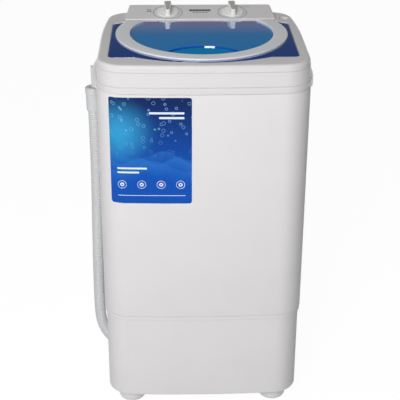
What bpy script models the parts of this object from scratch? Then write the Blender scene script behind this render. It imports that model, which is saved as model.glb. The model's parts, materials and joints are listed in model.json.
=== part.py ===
"""Compact top-loading washing machine with a single wash tub, as separate pieces.

Metres, +Z up. The front faces -Y, and the origin lies on the floor under the machine's middle.
"""

import math

import bmesh
import bpy
from mathutils import Matrix, Vector

# Driving dimensions
WIDTH = 0.430
DEPTH = 0.390
FRONT_BOW = 0.008
REAR_SETBACK = 0.008
CORNER_RADIUS = 0.054
REAR_CORNER = 0.045
SIDE_DRAW = 0.0155
FOOT_HEIGHT = 0.032
BASE_HEIGHT = 0.200
CABINET_HEIGHT = 0.523
COVER_HEIGHT = 0.058
WALL = 0.003
TUB_ROOM = 0.030
TUB_FLOOR_Z = 0.360
HOSE_DIAMETER = 0.025

# Clearances and overruns
GAP = 0.0003
FIT = 0.0005
LOOSE = 0.0008
OVERRUN = 0.004

# Heights that the pieces share
BASE_TOP = FOOT_HEIGHT + BASE_HEIGHT
COVER_BOTTOM = BASE_TOP + CABINET_HEIGHT
DECK_Z = COVER_BOTTOM + COVER_HEIGHT

# Plan of the body, measured on the top cover, and the tub that it leaves room for
HALF_WIDTH = WIDTH / 2
FRONT_LINE = FRONT_BOW - DEPTH / 2
REAR_LINE = DEPTH / 2 - REAR_SETBACK
TUB_RADIUS = DEPTH / 2 - TUB_ROOM

# Facets
FRONT_STEPS = 8
CORNER_STEPS = 4
SIDE_STEPS = 3
ROUND_SIDES = 16
SMALL_SIDES = 10
HEX_SIDES = 6
SHARP_ANGLE = math.radians(35)

COVER_WHITE = (0.80, 0.80, 0.79)
CABINET_WHITE = (0.78, 0.78, 0.79)
STEEL = (0.55, 0.56, 0.57)
ZINC = (0.62, 0.62, 0.60)
BRONZE = (0.60, 0.42, 0.18)
BLACK = (0.03, 0.03, 0.03)


def lofted(rings, hollow=False):
    """A closed mesh through rings of equal length; hollow joins the last ring to the first."""
    shape = bmesh.new()
    loops = [[shape.verts.new(p) for p in ring] for ring in rings]
    pairs = list(zip(loops, loops[1:]))
    if hollow:
        pairs.append((loops[-1], loops[0]))
    for low, high in pairs:
        for i in range(len(low)):
            j = (i + 1) % len(low)
            shape.faces.new((low[i], low[j], high[j], high[i]))
    if not hollow:
        shape.faces.new(loops[0])
        shape.faces.new(loops[-1])
    bmesh.ops.recalc_face_normals(shape, faces=shape.faces)
    return shape


def turned(profile, sides=ROUND_SIDES, hollow=False, centre=(0, 0)):
    """A profile of (radius, z) points turned round a vertical axis through the centre."""
    turns = [math.tau * i / sides for i in range(sides)]
    x, y = centre
    rings = [[(x + r * math.cos(a), y + r * math.sin(a), z) for a in turns] for r, z in profile]
    return lofted(rings, hollow)


def box(low, high):
    """A block between two corners."""
    (x0, y0, z0), (x1, y1, z1) = low, high
    ring = [(x0, y0), (x1, y0), (x1, y1), (x0, y1)]
    return lofted([[(x, y, z) for x, y in ring] for z in (z0, z1)])


def prism(outline, low, high):
    """A flat outline of (x, y) points raised from one height to another."""
    return lofted([[(x, y, z) for x, y in outline] for z in (low, high)])


def rod(start, end, radius, sides=SMALL_SIDES):
    """A straight round bar between two points."""
    return pipe([start, end], [radius, radius], sides=sides)


def pipe(points, outer, inner=None, sides=SMALL_SIDES):
    """A round bar along points with a radius at each, or a tube where inner radii are given."""
    points = [Vector(p) for p in points]
    ways = [(b - a).normalized() for a, b in zip(points, points[1:])]
    ways = [ways[0]] + [(a + b).normalized() for a, b in zip(ways, ways[1:])] + [ways[-1]]
    across = ways[0].orthogonal().normalized()
    frames = []
    for way in ways:
        across = (across - way * across.dot(way)).normalized()
        frames.append((across, way.cross(across)))

    def ring(point, frame, radius):
        turns = [math.tau * i / sides for i in range(sides)]
        return [point + (frame[0] * math.cos(a) + frame[1] * math.sin(a)) * radius for a in turns]

    rings = [ring(p, f, r) for p, f, r in zip(points, frames, outer)]
    if inner:
        rings += [ring(p, f, r) for p, f, r in zip(points[::-1], frames[::-1], inner[::-1])]
    return lofted(rings, hollow=bool(inner))


def piece(name, shape, colour, roughness, metallic=0.0, place=None):
    """One sub-part with its own material, from a closed mesh."""
    bmesh.ops.recalc_face_normals(shape, faces=shape.faces)
    mesh = bpy.data.meshes.new(name)
    shape.to_mesh(mesh)
    shape.free()
    mesh.shade_smooth()
    mesh.set_sharp_from_angle(angle=SHARP_ANGLE)
    finish = bpy.data.materials.new(name + "_finish")
    finish.use_nodes = True
    surface = finish.node_tree.nodes["Principled BSDF"].inputs
    surface["Base Color"].default_value = (*colour, 1.0)
    surface["Roughness"].default_value = roughness
    surface["Metallic"].default_value = metallic
    mesh.materials.append(finish)
    item = bpy.data.objects.new(name, mesh)
    bpy.context.scene.collection.objects.link(item)
    if place is not None:
        item.matrix_world = place
    return item


def shaped(item, operation, shape, place=None):
    """Cuts a shape out of a piece, or joins one to it, with a Boolean."""
    mesh = bpy.data.meshes.new(item.name + "_tool")
    shape.to_mesh(mesh)
    shape.free()
    tool = bpy.data.objects.new(item.name + "_tool", mesh)
    bpy.context.scene.collection.objects.link(tool)
    tool.hide_render = True
    tool.display_type = "WIRE"
    if place is not None:
        tool.matrix_world = place
    step = item.modifiers.new(operation.lower(), "BOOLEAN")
    step.operation = operation
    step.object = tool


# The part of a straight front that may bulge, and the rear's points, from right to left
CHORD_SHARE = 0.76
REAR_SHARES = (1.0, 0.9, 0.0, -0.9)


def outline(half_width, front, rear, front_corner, rear_corner, chord=0.0, bulge=0.0, step=0.0):
    """(x, y) points round a rounded rectangle, from the front left corner towards +X.

    The middle of the front bulges as an arc of that chord, and the rear's middle steps back.
    """
    straight = half_width - front_corner
    chord = chord or 2 * straight * CHORD_SHARE
    radius = (chord * chord / 4 + bulge * bulge) / (2 * bulge) if bulge else 0.0
    points = [(-straight, front)]
    for i in range(FRONT_STEPS + 1):
        x = chord * (i / FRONT_STEPS - 1 / 2)
        rise = math.sqrt(radius * radius - x * x) - (radius - bulge) if bulge else 0.0
        points.append((x, front - rise))

    def corner(x, y, radius, start, steps):
        for i in range(steps):
            turn = start + math.pi / 2 * i / steps
            points.append((x + radius * math.cos(turn), y + radius * math.sin(turn)))

    def side(start, end, steps):
        for i in range(steps):
            points.append(tuple(a + (b - a) * i / steps for a, b in zip(start, end)))

    back = half_width - rear_corner
    corner(straight, front + front_corner, front_corner, -math.pi / 2, CORNER_STEPS)
    side((half_width, front + front_corner), (half_width, rear - rear_corner), SIDE_STEPS)
    corner(back, rear - rear_corner, rear_corner, 0.0, CORNER_STEPS)
    for share in REAR_SHARES:
        x = back * share
        points.append((x, rear + (step if abs(share) < 1 else 0.0)))
    corner(-back, rear - rear_corner, rear_corner, math.pi / 2, CORNER_STEPS)
    side((-half_width, rear - rear_corner), (-half_width, front + front_corner), SIDE_STEPS)
    corner(-straight, front + front_corner, front_corner, math.pi, CORNER_STEPS)
    return points


def bowed(points, half_width):
    """Bows the front outwards and draws the sides in towards the rear."""
    moved = []
    for x, y in points:
        if y < 0:
            y -= FRONT_BOW * max(0.0, 1 - (x / half_width) ** 2) * min(1.0, y / FRONT_LINE) ** 2
        else:
            x *= 1 - SIDE_DRAW / HALF_WIDTH * (y / REAR_LINE) ** 2
        moved.append((x, y))
    return moved


def cover_plan(inset):
    """The top cover's outline, moved inwards."""
    half = HALF_WIDTH - inset
    corners = (CORNER_RADIUS - inset, REAR_CORNER - inset)
    return bowed(outline(half, FRONT_LINE + inset, REAR_LINE - inset, *corners), half)


def cabinet_plan(inset):
    """The cabinet's outline, moved inwards; its front stands a little behind the cover's."""
    half = HALF_WIDTH + CABINET_PROUD - inset
    front = FRONT_LINE + CABINET_SETBACK + inset
    return bowed(outline(half, front, REAR_LINE - inset, CORNER_RADIUS - inset, REAR_CORNER - inset), half)


def at(points, z):
    """An outline as a ring at one height."""
    return [(x, y, z) for x, y in points]


def round_like(points, radius, z, centre=(0, 0)):
    """A ring of that radius whose points face those of an outline."""
    ring = []
    for x, y in points:
        turn = math.atan2(y - centre[1], x - centre[0])
        ring.append((centre[0] + radius * math.cos(turn), centre[1] + radius * math.sin(turn), z))
    return ring


def half_width_at(y):
    """How far the cover's side stands from the middle at a depth."""
    return HALF_WIDTH * (1 - SIDE_DRAW / HALF_WIDTH * (max(0.0, y) / REAR_LINE) ** 2)


for old in list(bpy.data.objects):
    bpy.data.objects.remove(old)

# Cabinet shell: a tall open case with a neck for the cover and a ledge that stands on the base
CABINET_PROUD = 0.001
CABINET_SETBACK = 0.0045
CABINET_TOP = COVER_BOTTOM - GAP
NECK_HEIGHT = 0.014
LIP_HEIGHT = 0.010
LIP_DRAW = 0.0012
LEDGE_RISE = 0.012
LEDGE_WIDTH = 0.010
LEDGE_Z = BASE_TOP + LEDGE_RISE
NECK_INSET = WALL + FIT + CABINET_PROUD
NECK_TOP = CABINET_TOP + NECK_HEIGHT

cabinet = piece(
    "cabinet_shell",
    lofted(
        [
            at(cabinet_plan(LIP_DRAW), BASE_TOP),
            at(cabinet_plan(0.0), BASE_TOP + LIP_HEIGHT),
            at(cabinet_plan(0.0), CABINET_TOP),
            at(cabinet_plan(NECK_INSET), CABINET_TOP),
            at(cabinet_plan(NECK_INSET), NECK_TOP),
            at(cabinet_plan(NECK_INSET + WALL), NECK_TOP),
            at(cabinet_plan(NECK_INSET + WALL), CABINET_TOP - WALL),
            at(cabinet_plan(WALL), CABINET_TOP - 2 * WALL),
            at(cabinet_plan(WALL), LEDGE_Z + WALL),
            at(cabinet_plan(WALL + LEDGE_WIDTH), LEDGE_Z + WALL),
            at(cabinet_plan(WALL + LEDGE_WIDTH), LEDGE_Z),
            at(cabinet_plan(WALL), LEDGE_Z),
            at(cabinet_plan(WALL), BASE_TOP),
        ],
        hollow=True,
    ),
    CABINET_WHITE,
    0.28,
)

# Back cover over the service opening in the cabinet's rear wall
SERVICE_HALF_WIDTH = 0.115
SERVICE_RISE = 0.037
SERVICE_DROP = 0.204
SERVICE_BOTTOM = BASE_TOP + SERVICE_RISE
SERVICE_TOP = COVER_BOTTOM - SERVICE_DROP
BACK_COVER_LAP = 0.014
BACK_THICKNESS = 0.003
BACK_FACE = REAR_LINE + GAP + BACK_THICKNESS
shaped(
    cabinet,
    "DIFFERENCE",
    box(
        (-SERVICE_HALF_WIDTH, REAR_LINE - WALL - OVERRUN, SERVICE_BOTTOM),
        (SERVICE_HALF_WIDTH, REAR_LINE + OVERRUN, SERVICE_TOP),
    ),
)
back_cover = piece(
    "back_cover",
    box(
        (-SERVICE_HALF_WIDTH - BACK_COVER_LAP, REAR_LINE + GAP, SERVICE_BOTTOM - BACK_COVER_LAP),
        (SERVICE_HALF_WIDTH + BACK_COVER_LAP, BACK_FACE, SERVICE_TOP + BACK_COVER_LAP),
    ),
    CABINET_WHITE,
    0.35,
)
VENT_COUNT = 6
VENT_HEIGHT = 0.004
VENT_PITCH = 0.012
VENT_HALF_WIDTH = 0.040
VENT_DROP = 0.070
VENT_TOP = SERVICE_TOP - VENT_DROP
for i in range(VENT_COUNT):
    top = VENT_TOP - i * VENT_PITCH
    shaped(
        back_cover,
        "DIFFERENCE",
        box(
            (-VENT_HALF_WIDTH, REAR_LINE - OVERRUN, top - VENT_HEIGHT),
            (VENT_HALF_WIDTH, BACK_FACE + OVERRUN, top),
        ),
    )

BACK_SCREW_RADIUS = 0.002
BACK_SCREW_HEAD = 0.0045
BACK_SCREW_DEPTH = 0.012
BACK_HEAD_HEIGHT = 0.0022
back_screw_x = SERVICE_HALF_WIDTH + BACK_COVER_LAP / 2
back_screws = [
    (x, z)
    for z in (SERVICE_BOTTOM - BACK_COVER_LAP / 2, SERVICE_TOP + BACK_COVER_LAP / 2)
    for x in (-back_screw_x, back_screw_x)
]
for number, (x, z) in enumerate(back_screws, 1):
    for plate in (cabinet, back_cover):
        near, far = (x, REAR_LINE - WALL - OVERRUN, z), (x, BACK_FACE + OVERRUN, z)
        shaped(plate, "DIFFERENCE", rod(near, far, BACK_SCREW_RADIUS + GAP))
    head = BACK_FACE + GAP
    steps = [
        (head - BACK_SCREW_DEPTH, BACK_SCREW_RADIUS),
        (head, BACK_SCREW_RADIUS),
        (head, BACK_SCREW_HEAD),
        (head + BACK_HEAD_HEIGHT / 2, BACK_SCREW_HEAD),
        (head + BACK_HEAD_HEIGHT, BACK_SCREW_HEAD / 2),
    ]
    turn = Matrix.Translation((x, 0, z)) @ Matrix.Rotation(-math.pi / 2, 4, "X")
    screw = turned([(radius, y) for y, radius in steps], SMALL_SIDES)
    piece(f"back_cover_screw_{number}", screw, ZINC, 0.35, 0.9, turn)

# Cord gland in the back cover: a bush that the mains lead would pass through
GLAND_X = 0.085
GLAND_RISE = 0.030
GLAND_Z = SERVICE_BOTTOM + GLAND_RISE
GLAND_RADIUS = 0.008
GLAND_FLANGE = 0.012
GLAND_BORE = 0.004
GLAND_INSIDE = 0.008
gland_place = Matrix.Translation((GLAND_X, 0, GLAND_Z)) @ Matrix.Rotation(-math.pi / 2, 4, "X")
shaped(
    back_cover,
    "DIFFERENCE",
    rod(
        (GLAND_X, REAR_LINE - OVERRUN, GLAND_Z),
        (GLAND_X, BACK_FACE + OVERRUN, GLAND_Z),
        GLAND_RADIUS + GAP,
    ),
)
piece(
    "cord_gland",
    turned(
        [
            (GLAND_BORE, REAR_LINE - GLAND_INSIDE),
            (GLAND_RADIUS, REAR_LINE - GLAND_INSIDE),
            (GLAND_RADIUS, BACK_FACE + GAP),
            (GLAND_FLANGE, BACK_FACE + GAP),
            (GLAND_FLANGE, DEPTH / 2 - GAP),
            (GLAND_FLANGE - GAP, DEPTH / 2),
            (GLAND_BORE, DEPTH / 2),
        ],
        SMALL_SIDES,
        hollow=True,
    ),
    BLACK,
    0.6,
    0.0,
    gland_place,
)

# Base: a skirt set in below the cabinet, with a floor flange for the feet
BASE_INSET = WALL + LOOSE
BASE_CHAMFER = 0.003
BASE_FLOOR = 0.003
OPENING_HALF_WIDTH = 0.105
OPENING_FRONT = -0.085
OPENING_REAR = 0.085
OPENING_CORNER = 0.030
floor_opening = outline(OPENING_HALF_WIDTH, OPENING_FRONT, OPENING_REAR, OPENING_CORNER, OPENING_CORNER)
base = piece(
    "base_skirt",
    lofted(
        [
            at(cabinet_plan(BASE_INSET + BASE_CHAMFER), FOOT_HEIGHT),
            at(cabinet_plan(BASE_INSET), FOOT_HEIGHT + BASE_CHAMFER),
            at(cabinet_plan(BASE_INSET), LEDGE_Z - GAP),
            at(cabinet_plan(BASE_INSET + WALL), LEDGE_Z - GAP),
            at(cabinet_plan(BASE_INSET + WALL), FOOT_HEIGHT + BASE_FLOOR),
            at(floor_opening, FOOT_HEIGHT + BASE_FLOOR),
            at(floor_opening, FOOT_HEIGHT),
        ],
        hollow=True,
    ),
    CABINET_WHITE,
    0.3,
)

# Four round feet, each with a peg in the base's floor flange
FOOT_TOP_RADIUS = 0.031
FOOT_LOW_RADIUS = 0.026
FOOT_ROUNDING = 0.006
FOOT_INSET = 0.052
FOOT_WAIST_SHARE = 0.45
PEG_RADIUS = 0.008
PEG_RISE = 0.005
FOOT_WHITE = (0.74, 0.74, 0.73)
foot_x = HALF_WIDTH + CABINET_PROUD - BASE_INSET - FOOT_INSET
foot_front = FRONT_LINE - FRONT_BOW + CABINET_SETBACK + BASE_INSET + FOOT_INSET
foot_rear = REAR_LINE - BASE_INSET - FOOT_INSET
feet = {
    "front_left_foot": (-foot_x, foot_front),
    "front_right_foot": (foot_x, foot_front),
    "rear_left_foot": (-foot_x, foot_rear),
    "rear_right_foot": (foot_x, foot_rear),
}
foot_profile = [
    (FOOT_LOW_RADIUS - FOOT_ROUNDING, 0.0),
    (FOOT_LOW_RADIUS, FOOT_ROUNDING),
    (FOOT_TOP_RADIUS, FOOT_HEIGHT * FOOT_WAIST_SHARE),
    (FOOT_TOP_RADIUS, FOOT_HEIGHT - GAP),
    (PEG_RADIUS, FOOT_HEIGHT - GAP),
    (PEG_RADIUS, FOOT_HEIGHT + BASE_FLOOR + PEG_RISE),
]
peg_hole = [(PEG_RADIUS + GAP, z) for z in (FOOT_HEIGHT - OVERRUN, FOOT_HEIGHT + BASE_FLOOR + OVERRUN)]
for name, (x, y) in feet.items():
    shaped(base, "DIFFERENCE", turned(peg_hole, centre=(x, y)))
    piece(name, turned(foot_profile), FOOT_WHITE, 0.45, 0.0, Matrix.Translation((x, y, 0)))

# Lid outline and the openings that follow it
LID_SIDE_MARGIN = 0.0245
LID_FRONT_MARGIN = 0.0495
LID_REAR_MARGIN = 0.0905
LID_HALF_WIDTH = HALF_WIDTH - LID_SIDE_MARGIN
LID_FRONT = FRONT_LINE + LID_FRONT_MARGIN
LID_REAR = REAR_LINE - LID_REAR_MARGIN
LID_REAR_STEP = 0.0145
LID_CORNER = 0.012
LID_CHORD = 0.270
LID_BULGE = 0.034
LID_THICKNESS = 0.0035
LID_MARGIN = 0.0008
GROOVE = 0.005
SEAT_SIDE = 0.0275
SEAT_FRONT = 0.0105
SEAT_REAR = 0.0065
MOUTH_HALF_WIDTH = LID_HALF_WIDTH - SEAT_SIDE
MOUTH_FRONT = LID_FRONT + SEAT_FRONT
MOUTH_REAR = LID_REAR - SEAT_REAR
MOUTH_CORNER = 0.030
MOUTH_BULGE = 0.032
SEAT_Z = DECK_Z - LID_THICKNESS - GAP


def lid_plan(outset, rear_outset):
    """The lid's outline, moved outwards."""
    return outline(
        LID_HALF_WIDTH + outset,
        LID_FRONT - outset,
        LID_REAR + rear_outset,
        LID_CORNER,
        LID_CORNER,
        LID_CHORD,
        LID_BULGE,
        LID_REAR_STEP,
    )


def mouth_plan(outset):
    """The outline of the opening in the cover, moved outwards."""
    return outline(
        MOUTH_HALF_WIDTH + outset,
        MOUTH_FRONT - outset,
        MOUTH_REAR + outset,
        MOUTH_CORNER + outset,
        MOUTH_CORNER + outset,
        LID_CHORD * MOUTH_HALF_WIDTH / LID_HALF_WIDTH,
        MOUTH_BULGE,
    )


# Top cover: skirt with a lower band and a ridge, flat deck, seat for the lid, collar into the tub
BAND_HEIGHT = 0.014
BAND_STEP = 0.0012
RIDGE_DROP = 0.014
RIDGE_STEP = 0.0014
EDGE_RADIUS = 0.006
COLLAR_DEPTH = 0.030
CREASE = 0.0012
EDGE_SHARES = (0.0, 0.4, 0.7, 1.0)
upper_inset = BAND_STEP + RIDGE_STEP
edge_rings = []
for share in EDGE_SHARES:
    turn = share * math.pi / 2
    inset = upper_inset + EDGE_RADIUS * (1 - math.cos(turn))
    edge_rings.append(at(cover_plan(inset), DECK_Z - EDGE_RADIUS * (1 - math.sin(turn))))
COLLAR_BOTTOM = DECK_Z - COLLAR_DEPTH
top_cover = piece(
    "top_cover",
    lofted(
        [
            at(cover_plan(0.0), COVER_BOTTOM),
            at(cover_plan(0.0), COVER_BOTTOM + BAND_HEIGHT),
            at(cover_plan(BAND_STEP), COVER_BOTTOM + BAND_HEIGHT + CREASE),
            at(cover_plan(BAND_STEP), DECK_Z - RIDGE_DROP),
            at(cover_plan(upper_inset), DECK_Z - RIDGE_DROP + CREASE),
        ]
        + edge_rings
        + [
            at(lid_plan(LID_MARGIN, GROOVE), DECK_Z),
            at(lid_plan(LID_MARGIN, GROOVE), SEAT_Z),
            at(mouth_plan(0.0), SEAT_Z),
            at(mouth_plan(0.0), COLLAR_BOTTOM),
            at(mouth_plan(WALL), COLLAR_BOTTOM),
            at(mouth_plan(WALL), SEAT_Z - WALL),
            at(lid_plan(LID_MARGIN + WALL, GROOVE + WALL), SEAT_Z - WALL),
            at(lid_plan(LID_MARGIN + WALL, GROOVE + WALL), DECK_Z - WALL),
            at(cover_plan(upper_inset + WALL), DECK_Z - WALL),
            at(cover_plan(upper_inset + WALL), DECK_Z - RIDGE_DROP - WALL),
            at(cover_plan(WALL), DECK_Z - RIDGE_DROP - 2 * WALL),
            at(cover_plan(WALL), COVER_BOTTOM),
        ],
        hollow=True,
    ),
    COVER_WHITE,
    0.22,
)

# Trough in the lid's seat: the lid's rear edge dips into it when the lid swings up
HINGE_INSET = 0.0025
KNUCKLE_RADIUS = 0.0032
TROUGH_DEPTH = 0.0038
TROUGH_REACH = 0.0016
RELIEF_REACH = 0.005
HINGE_Y = LID_REAR + LID_REAR_STEP - HINGE_INSET
HINGE_Z = DECK_Z - KNUCKLE_RADIUS
groove_rear = LID_REAR + LID_REAR_STEP + GROOVE
trough_half = LID_HALF_WIDTH - LID_REAR_STEP - LID_CORNER
trough_front = HINGE_Y - TROUGH_REACH
trough_z = SEAT_Z - TROUGH_DEPTH
relief_half = trough_half + RELIEF_REACH
relief_rear = HINGE_Y + LID_THICKNESS + LOOSE
shaped(
    top_cover,
    "UNION",
    box(
        (-trough_half - WALL, trough_front - WALL, trough_z - WALL),
        (trough_half + WALL, groove_rear + WALL - GAP, SEAT_Z - WALL / 2),
    ),
)
shaped(
    top_cover,
    "DIFFERENCE",
    box((-trough_half, trough_front, trough_z), (trough_half, groove_rear - GAP, SEAT_Z + OVERRUN)),
)
shaped(
    top_cover,
    "DIFFERENCE",
    box((-relief_half, trough_front, SEAT_Z - FIT), (relief_half, relief_rear, SEAT_Z + OVERRUN)),
)

# Lid: blue clear plate with knuckles at its rear edge and a shallow finger scoop
HINGE_X = 0.102
KNUCKLE_LENGTH = 0.016
PIN_RADIUS = 0.0016
EAR_THICKNESS = 0.003
EAR_FRONT = 0.0045
LID_CHAMFER = 0.0005
SCOOP_RADIUS = 0.097
SCOOP_SETBACK = 0.0327
SCOOP_DEPTH = 0.0022
RING_SIDE_MARGIN = 0.009
RING_FRONT_MARGIN = 0.012
RING_WIDTH = 0.0302
RING_HEIGHT = 0.003
RING_OUTER = LID_HALF_WIDTH - RING_SIDE_MARGIN
RING_INNER = RING_OUTER - RING_WIDTH
RING_Y = LID_FRONT - LID_BULGE + RING_FRONT_MARGIN + RING_OUTER
SCOOP_Y = RING_Y - RING_INNER - SCOOP_SETBACK
BLUE = (0.03, 0.16, 0.50)
ear_out = KNUCKLE_LENGTH / 2 + GAP + EAR_THICKNESS
lid_bottom = SEAT_Z + GAP


def cross_rod(x, half, radius):
    """A round bar along the hinge's axis, centred on x."""
    return rod((x - half, HINGE_Y, HINGE_Z), (x + half, HINGE_Y, HINGE_Z), radius)


lid = piece(
    "lid",
    lofted(
        [
            at(lid_plan(-LID_CHAMFER, -LID_CHAMFER), lid_bottom),
            at(lid_plan(0.0, 0.0), lid_bottom + LID_CHAMFER),
            at(lid_plan(0.0, 0.0), DECK_Z - LID_CHAMFER),
            at(lid_plan(-LID_CHAMFER, -LID_CHAMFER), DECK_Z),
        ]
    ),
    BLUE,
    0.05,
)
scoop = []
SCOOP_STEPS = 16
window = RING_INNER - WALL
meet_y = (SCOOP_Y + RING_Y) / 2 + (window**2 - SCOOP_RADIUS**2) / (2 * (SCOOP_Y - RING_Y))
meet_turn = math.asin((meet_y - SCOOP_Y) / SCOOP_RADIUS)
window_turn = math.asin((meet_y - RING_Y) / window)
for i in range(SCOOP_STEPS):
    turn = meet_turn + (math.pi - 2 * meet_turn) * i / SCOOP_STEPS
    scoop.append((SCOOP_RADIUS * math.cos(turn), SCOOP_Y + SCOOP_RADIUS * math.sin(turn)))
for i in range(SCOOP_STEPS):
    turn = -math.pi - window_turn + (math.pi + 2 * window_turn) * i / SCOOP_STEPS
    scoop.append((window * math.cos(turn), RING_Y + window * math.sin(turn)))
shaped(lid, "DIFFERENCE", prism(scoop, DECK_Z - SCOOP_DEPTH, DECK_Z + OVERRUN))
for name, x in (("left", -HINGE_X), ("right", HINGE_X)):
    half = KNUCKLE_LENGTH / 2
    for inner, outer in ((x - ear_out - LOOSE, x - half), (x + half, x + ear_out + LOOSE)):
        low = (inner, HINGE_Y - EAR_FRONT - LOOSE, SEAT_Z - OVERRUN)
        shaped(lid, "DIFFERENCE", box(low, (outer, HINGE_Y + EAR_FRONT, DECK_Z + OVERRUN)))
    shaped(lid, "UNION", cross_rod(x, half, KNUCKLE_RADIUS))
    shaped(lid, "DIFFERENCE", cross_rod(x, half + OVERRUN, PIN_RADIUS + GAP))

# Round trim ring on the lid, cut off straight at the lid's rear edge
RING_SIDES = 52
RING_BEVEL = 0.0015
ring_end = LID_REAR + LID_REAR_STEP - FIT
ring_low = DECK_Z + GAP
ring_high = ring_low + RING_HEIGHT
ring_profile = [
    (RING_INNER, ring_low),
    (RING_INNER, ring_high - RING_BEVEL),
    (RING_INNER + RING_BEVEL, ring_high),
    (RING_OUTER - RING_BEVEL, ring_high),
    (RING_OUTER, ring_high - RING_BEVEL),
    (RING_OUTER, ring_low),
]
ring = piece("lid_ring", turned(ring_profile, RING_SIDES, True, (0, RING_Y)), COVER_WHITE, 0.25)
ring_back = (RING_OUTER + OVERRUN, RING_Y + RING_OUTER + OVERRUN, ring_high + OVERRUN)
shaped(ring, "DIFFERENCE", box((-RING_OUTER - OVERRUN, ring_end, DECK_Z - OVERRUN), ring_back))

# Lid hinges: clevis brackets under the rear deck, and a pin through each knuckle
EAR_DROP = 0.0060
EAR_TOP = 0.0027
BRACKET_REACH = 0.0115
BRACKET_PLATE = 0.003
deck_under = DECK_Z - WALL
notch_front = MOUTH_REAR - OVERRUN
for name, x in (("left", -HINGE_X), ("right", HINGE_X)):
    notch = box(
        (x - ear_out - LOOSE, notch_front, COLLAR_BOTTOM - OVERRUN),
        (x + ear_out + LOOSE, groove_rear - GAP, DECK_Z + OVERRUN),
    )
    shaped(top_cover, "DIFFERENCE", notch)
    under = box(
        (x - ear_out - LOOSE, notch_front, COLLAR_BOTTOM - OVERRUN),
        (x + ear_out + LOOSE, groove_rear + WALL + OVERRUN, deck_under - GAP),
    )
    shaped(top_cover, "DIFFERENCE", under)
    plate_rear = groove_rear + BRACKET_REACH
    bracket = piece(
        f"{name}_hinge_bracket",
        box(
            (x - ear_out, groove_rear - WALL, HINGE_Z - EAR_DROP),
            (x + ear_out, plate_rear, HINGE_Z - EAR_DROP + BRACKET_PLATE),
        ),
        BLACK,
        0.4,
    )
    for side in (-1, 1):
        inner = x + side * (KNUCKLE_LENGTH / 2 + GAP)
        outer = x + side * ear_out
        ear = [
            (HINGE_Y - EAR_FRONT, HINGE_Z - EAR_DROP),
            (plate_rear, HINGE_Z - EAR_DROP),
            (plate_rear, deck_under - 2 * GAP),
            (groove_rear - LOOSE, deck_under - 2 * GAP),
            (HINGE_Y + EAR_FRONT - GAP, HINGE_Z + EAR_TOP),
            (HINGE_Y - EAR_FRONT + LOOSE, HINGE_Z + EAR_TOP),
            (HINGE_Y - EAR_FRONT, HINGE_Z),
        ]
        shaped(bracket, "UNION", lofted([[(px, y, z) for y, z in ear] for px in sorted((inner, outer))]))
    shaped(bracket, "DIFFERENCE", cross_rod(x, ear_out + OVERRUN, PIN_RADIUS + FIT))
    piece(f"{name}_hinge_pin", cross_rod(x, ear_out, PIN_RADIUS), STEEL, 0.3, 1.0)

# Control panel: a shallow wedge over the switches, behind the lid
PANEL_STEP = 0.0025
PANEL_OVERHANG = 0.003
PANEL_SIDE_MARGIN = 0.050
PANEL_DRAW = 0.007
PANEL_FRONT = groove_rear + PANEL_STEP
PANEL_REAR = REAR_LINE + PANEL_OVERHANG
PANEL_HALF_FRONT = HALF_WIDTH - PANEL_SIDE_MARGIN
PANEL_HALF_REAR = PANEL_HALF_FRONT - PANEL_DRAW
PANEL_FRONT_HEIGHT = 0.003
PANEL_REAR_HEIGHT = 0.0155
PANEL_CORNER = 0.004
PANEL_EDGE = 0.0012
PANEL_WALL = 0.0022
PANEL_SKIRT = 0.013
PANEL_CORNER_STEPS = 3
panel_slope = math.atan2(PANEL_REAR_HEIGHT - PANEL_FRONT_HEIGHT, PANEL_REAR - PANEL_FRONT)


def panel_top(y):
    """The height of the panel's face at a depth."""
    return DECK_Z + PANEL_FRONT_HEIGHT + (y - PANEL_FRONT) * math.tan(panel_slope)


def panel_ring(inset, height):
    """The panel's outline moved inwards, with a height worked out at each point."""
    corners = [
        (PANEL_HALF_FRONT - inset, PANEL_FRONT + inset, -math.pi / 2, 1, 1),
        (PANEL_HALF_REAR - inset, PANEL_REAR - inset, 0.0, 1, -1),
        (-PANEL_HALF_REAR + inset, PANEL_REAR - inset, math.pi / 2, -1, -1),
        (-PANEL_HALF_FRONT + inset, PANEL_FRONT + inset, math.pi, -1, 1),
    ]
    radius = max(PANEL_CORNER - inset, PANEL_EDGE)
    ring = []
    for x, y, start, side, end in corners:
        for i in range(PANEL_CORNER_STEPS + 1):
            turn = start + math.pi / 2 * i / PANEL_CORNER_STEPS
            px = x - side * radius + radius * math.cos(turn)
            py = y + end * radius + radius * math.sin(turn)
            ring.append((px, py, height(py)))
    return ring


panel = piece(
    "control_panel",
    lofted(
        [
            panel_ring(PANEL_EDGE, panel_top),
            panel_ring(0.0, lambda y: panel_top(y) - PANEL_EDGE),
            panel_ring(0.0, lambda y: DECK_Z - PANEL_SKIRT),
            panel_ring(PANEL_WALL, lambda y: DECK_Z - PANEL_SKIRT),
            panel_ring(PANEL_WALL, lambda y: panel_top(y) - PANEL_WALL),
        ]
    ),
    COVER_WHITE,
    0.25,
)
# Its foot follows the cover: it stands on the deck and drops behind the deck's rear edge
seat_rings = [
    at(cover_plan(-GAP), DECK_Z - 2 * PANEL_SKIRT),
    at(cover_plan(-GAP), DECK_Z - RIDGE_DROP + CREASE),
    at(cover_plan(upper_inset - GAP), DECK_Z - RIDGE_DROP + 2 * CREASE),
]
for share in EDGE_SHARES:
    turn = share * math.pi / 2
    inset = upper_inset - GAP + EDGE_RADIUS * (1 - math.cos(turn))
    seat_rings.append(at(cover_plan(inset), DECK_Z + GAP - EDGE_RADIUS * (1 - math.sin(turn))))
shaped(panel, "DIFFERENCE", lofted(seat_rings))

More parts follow.
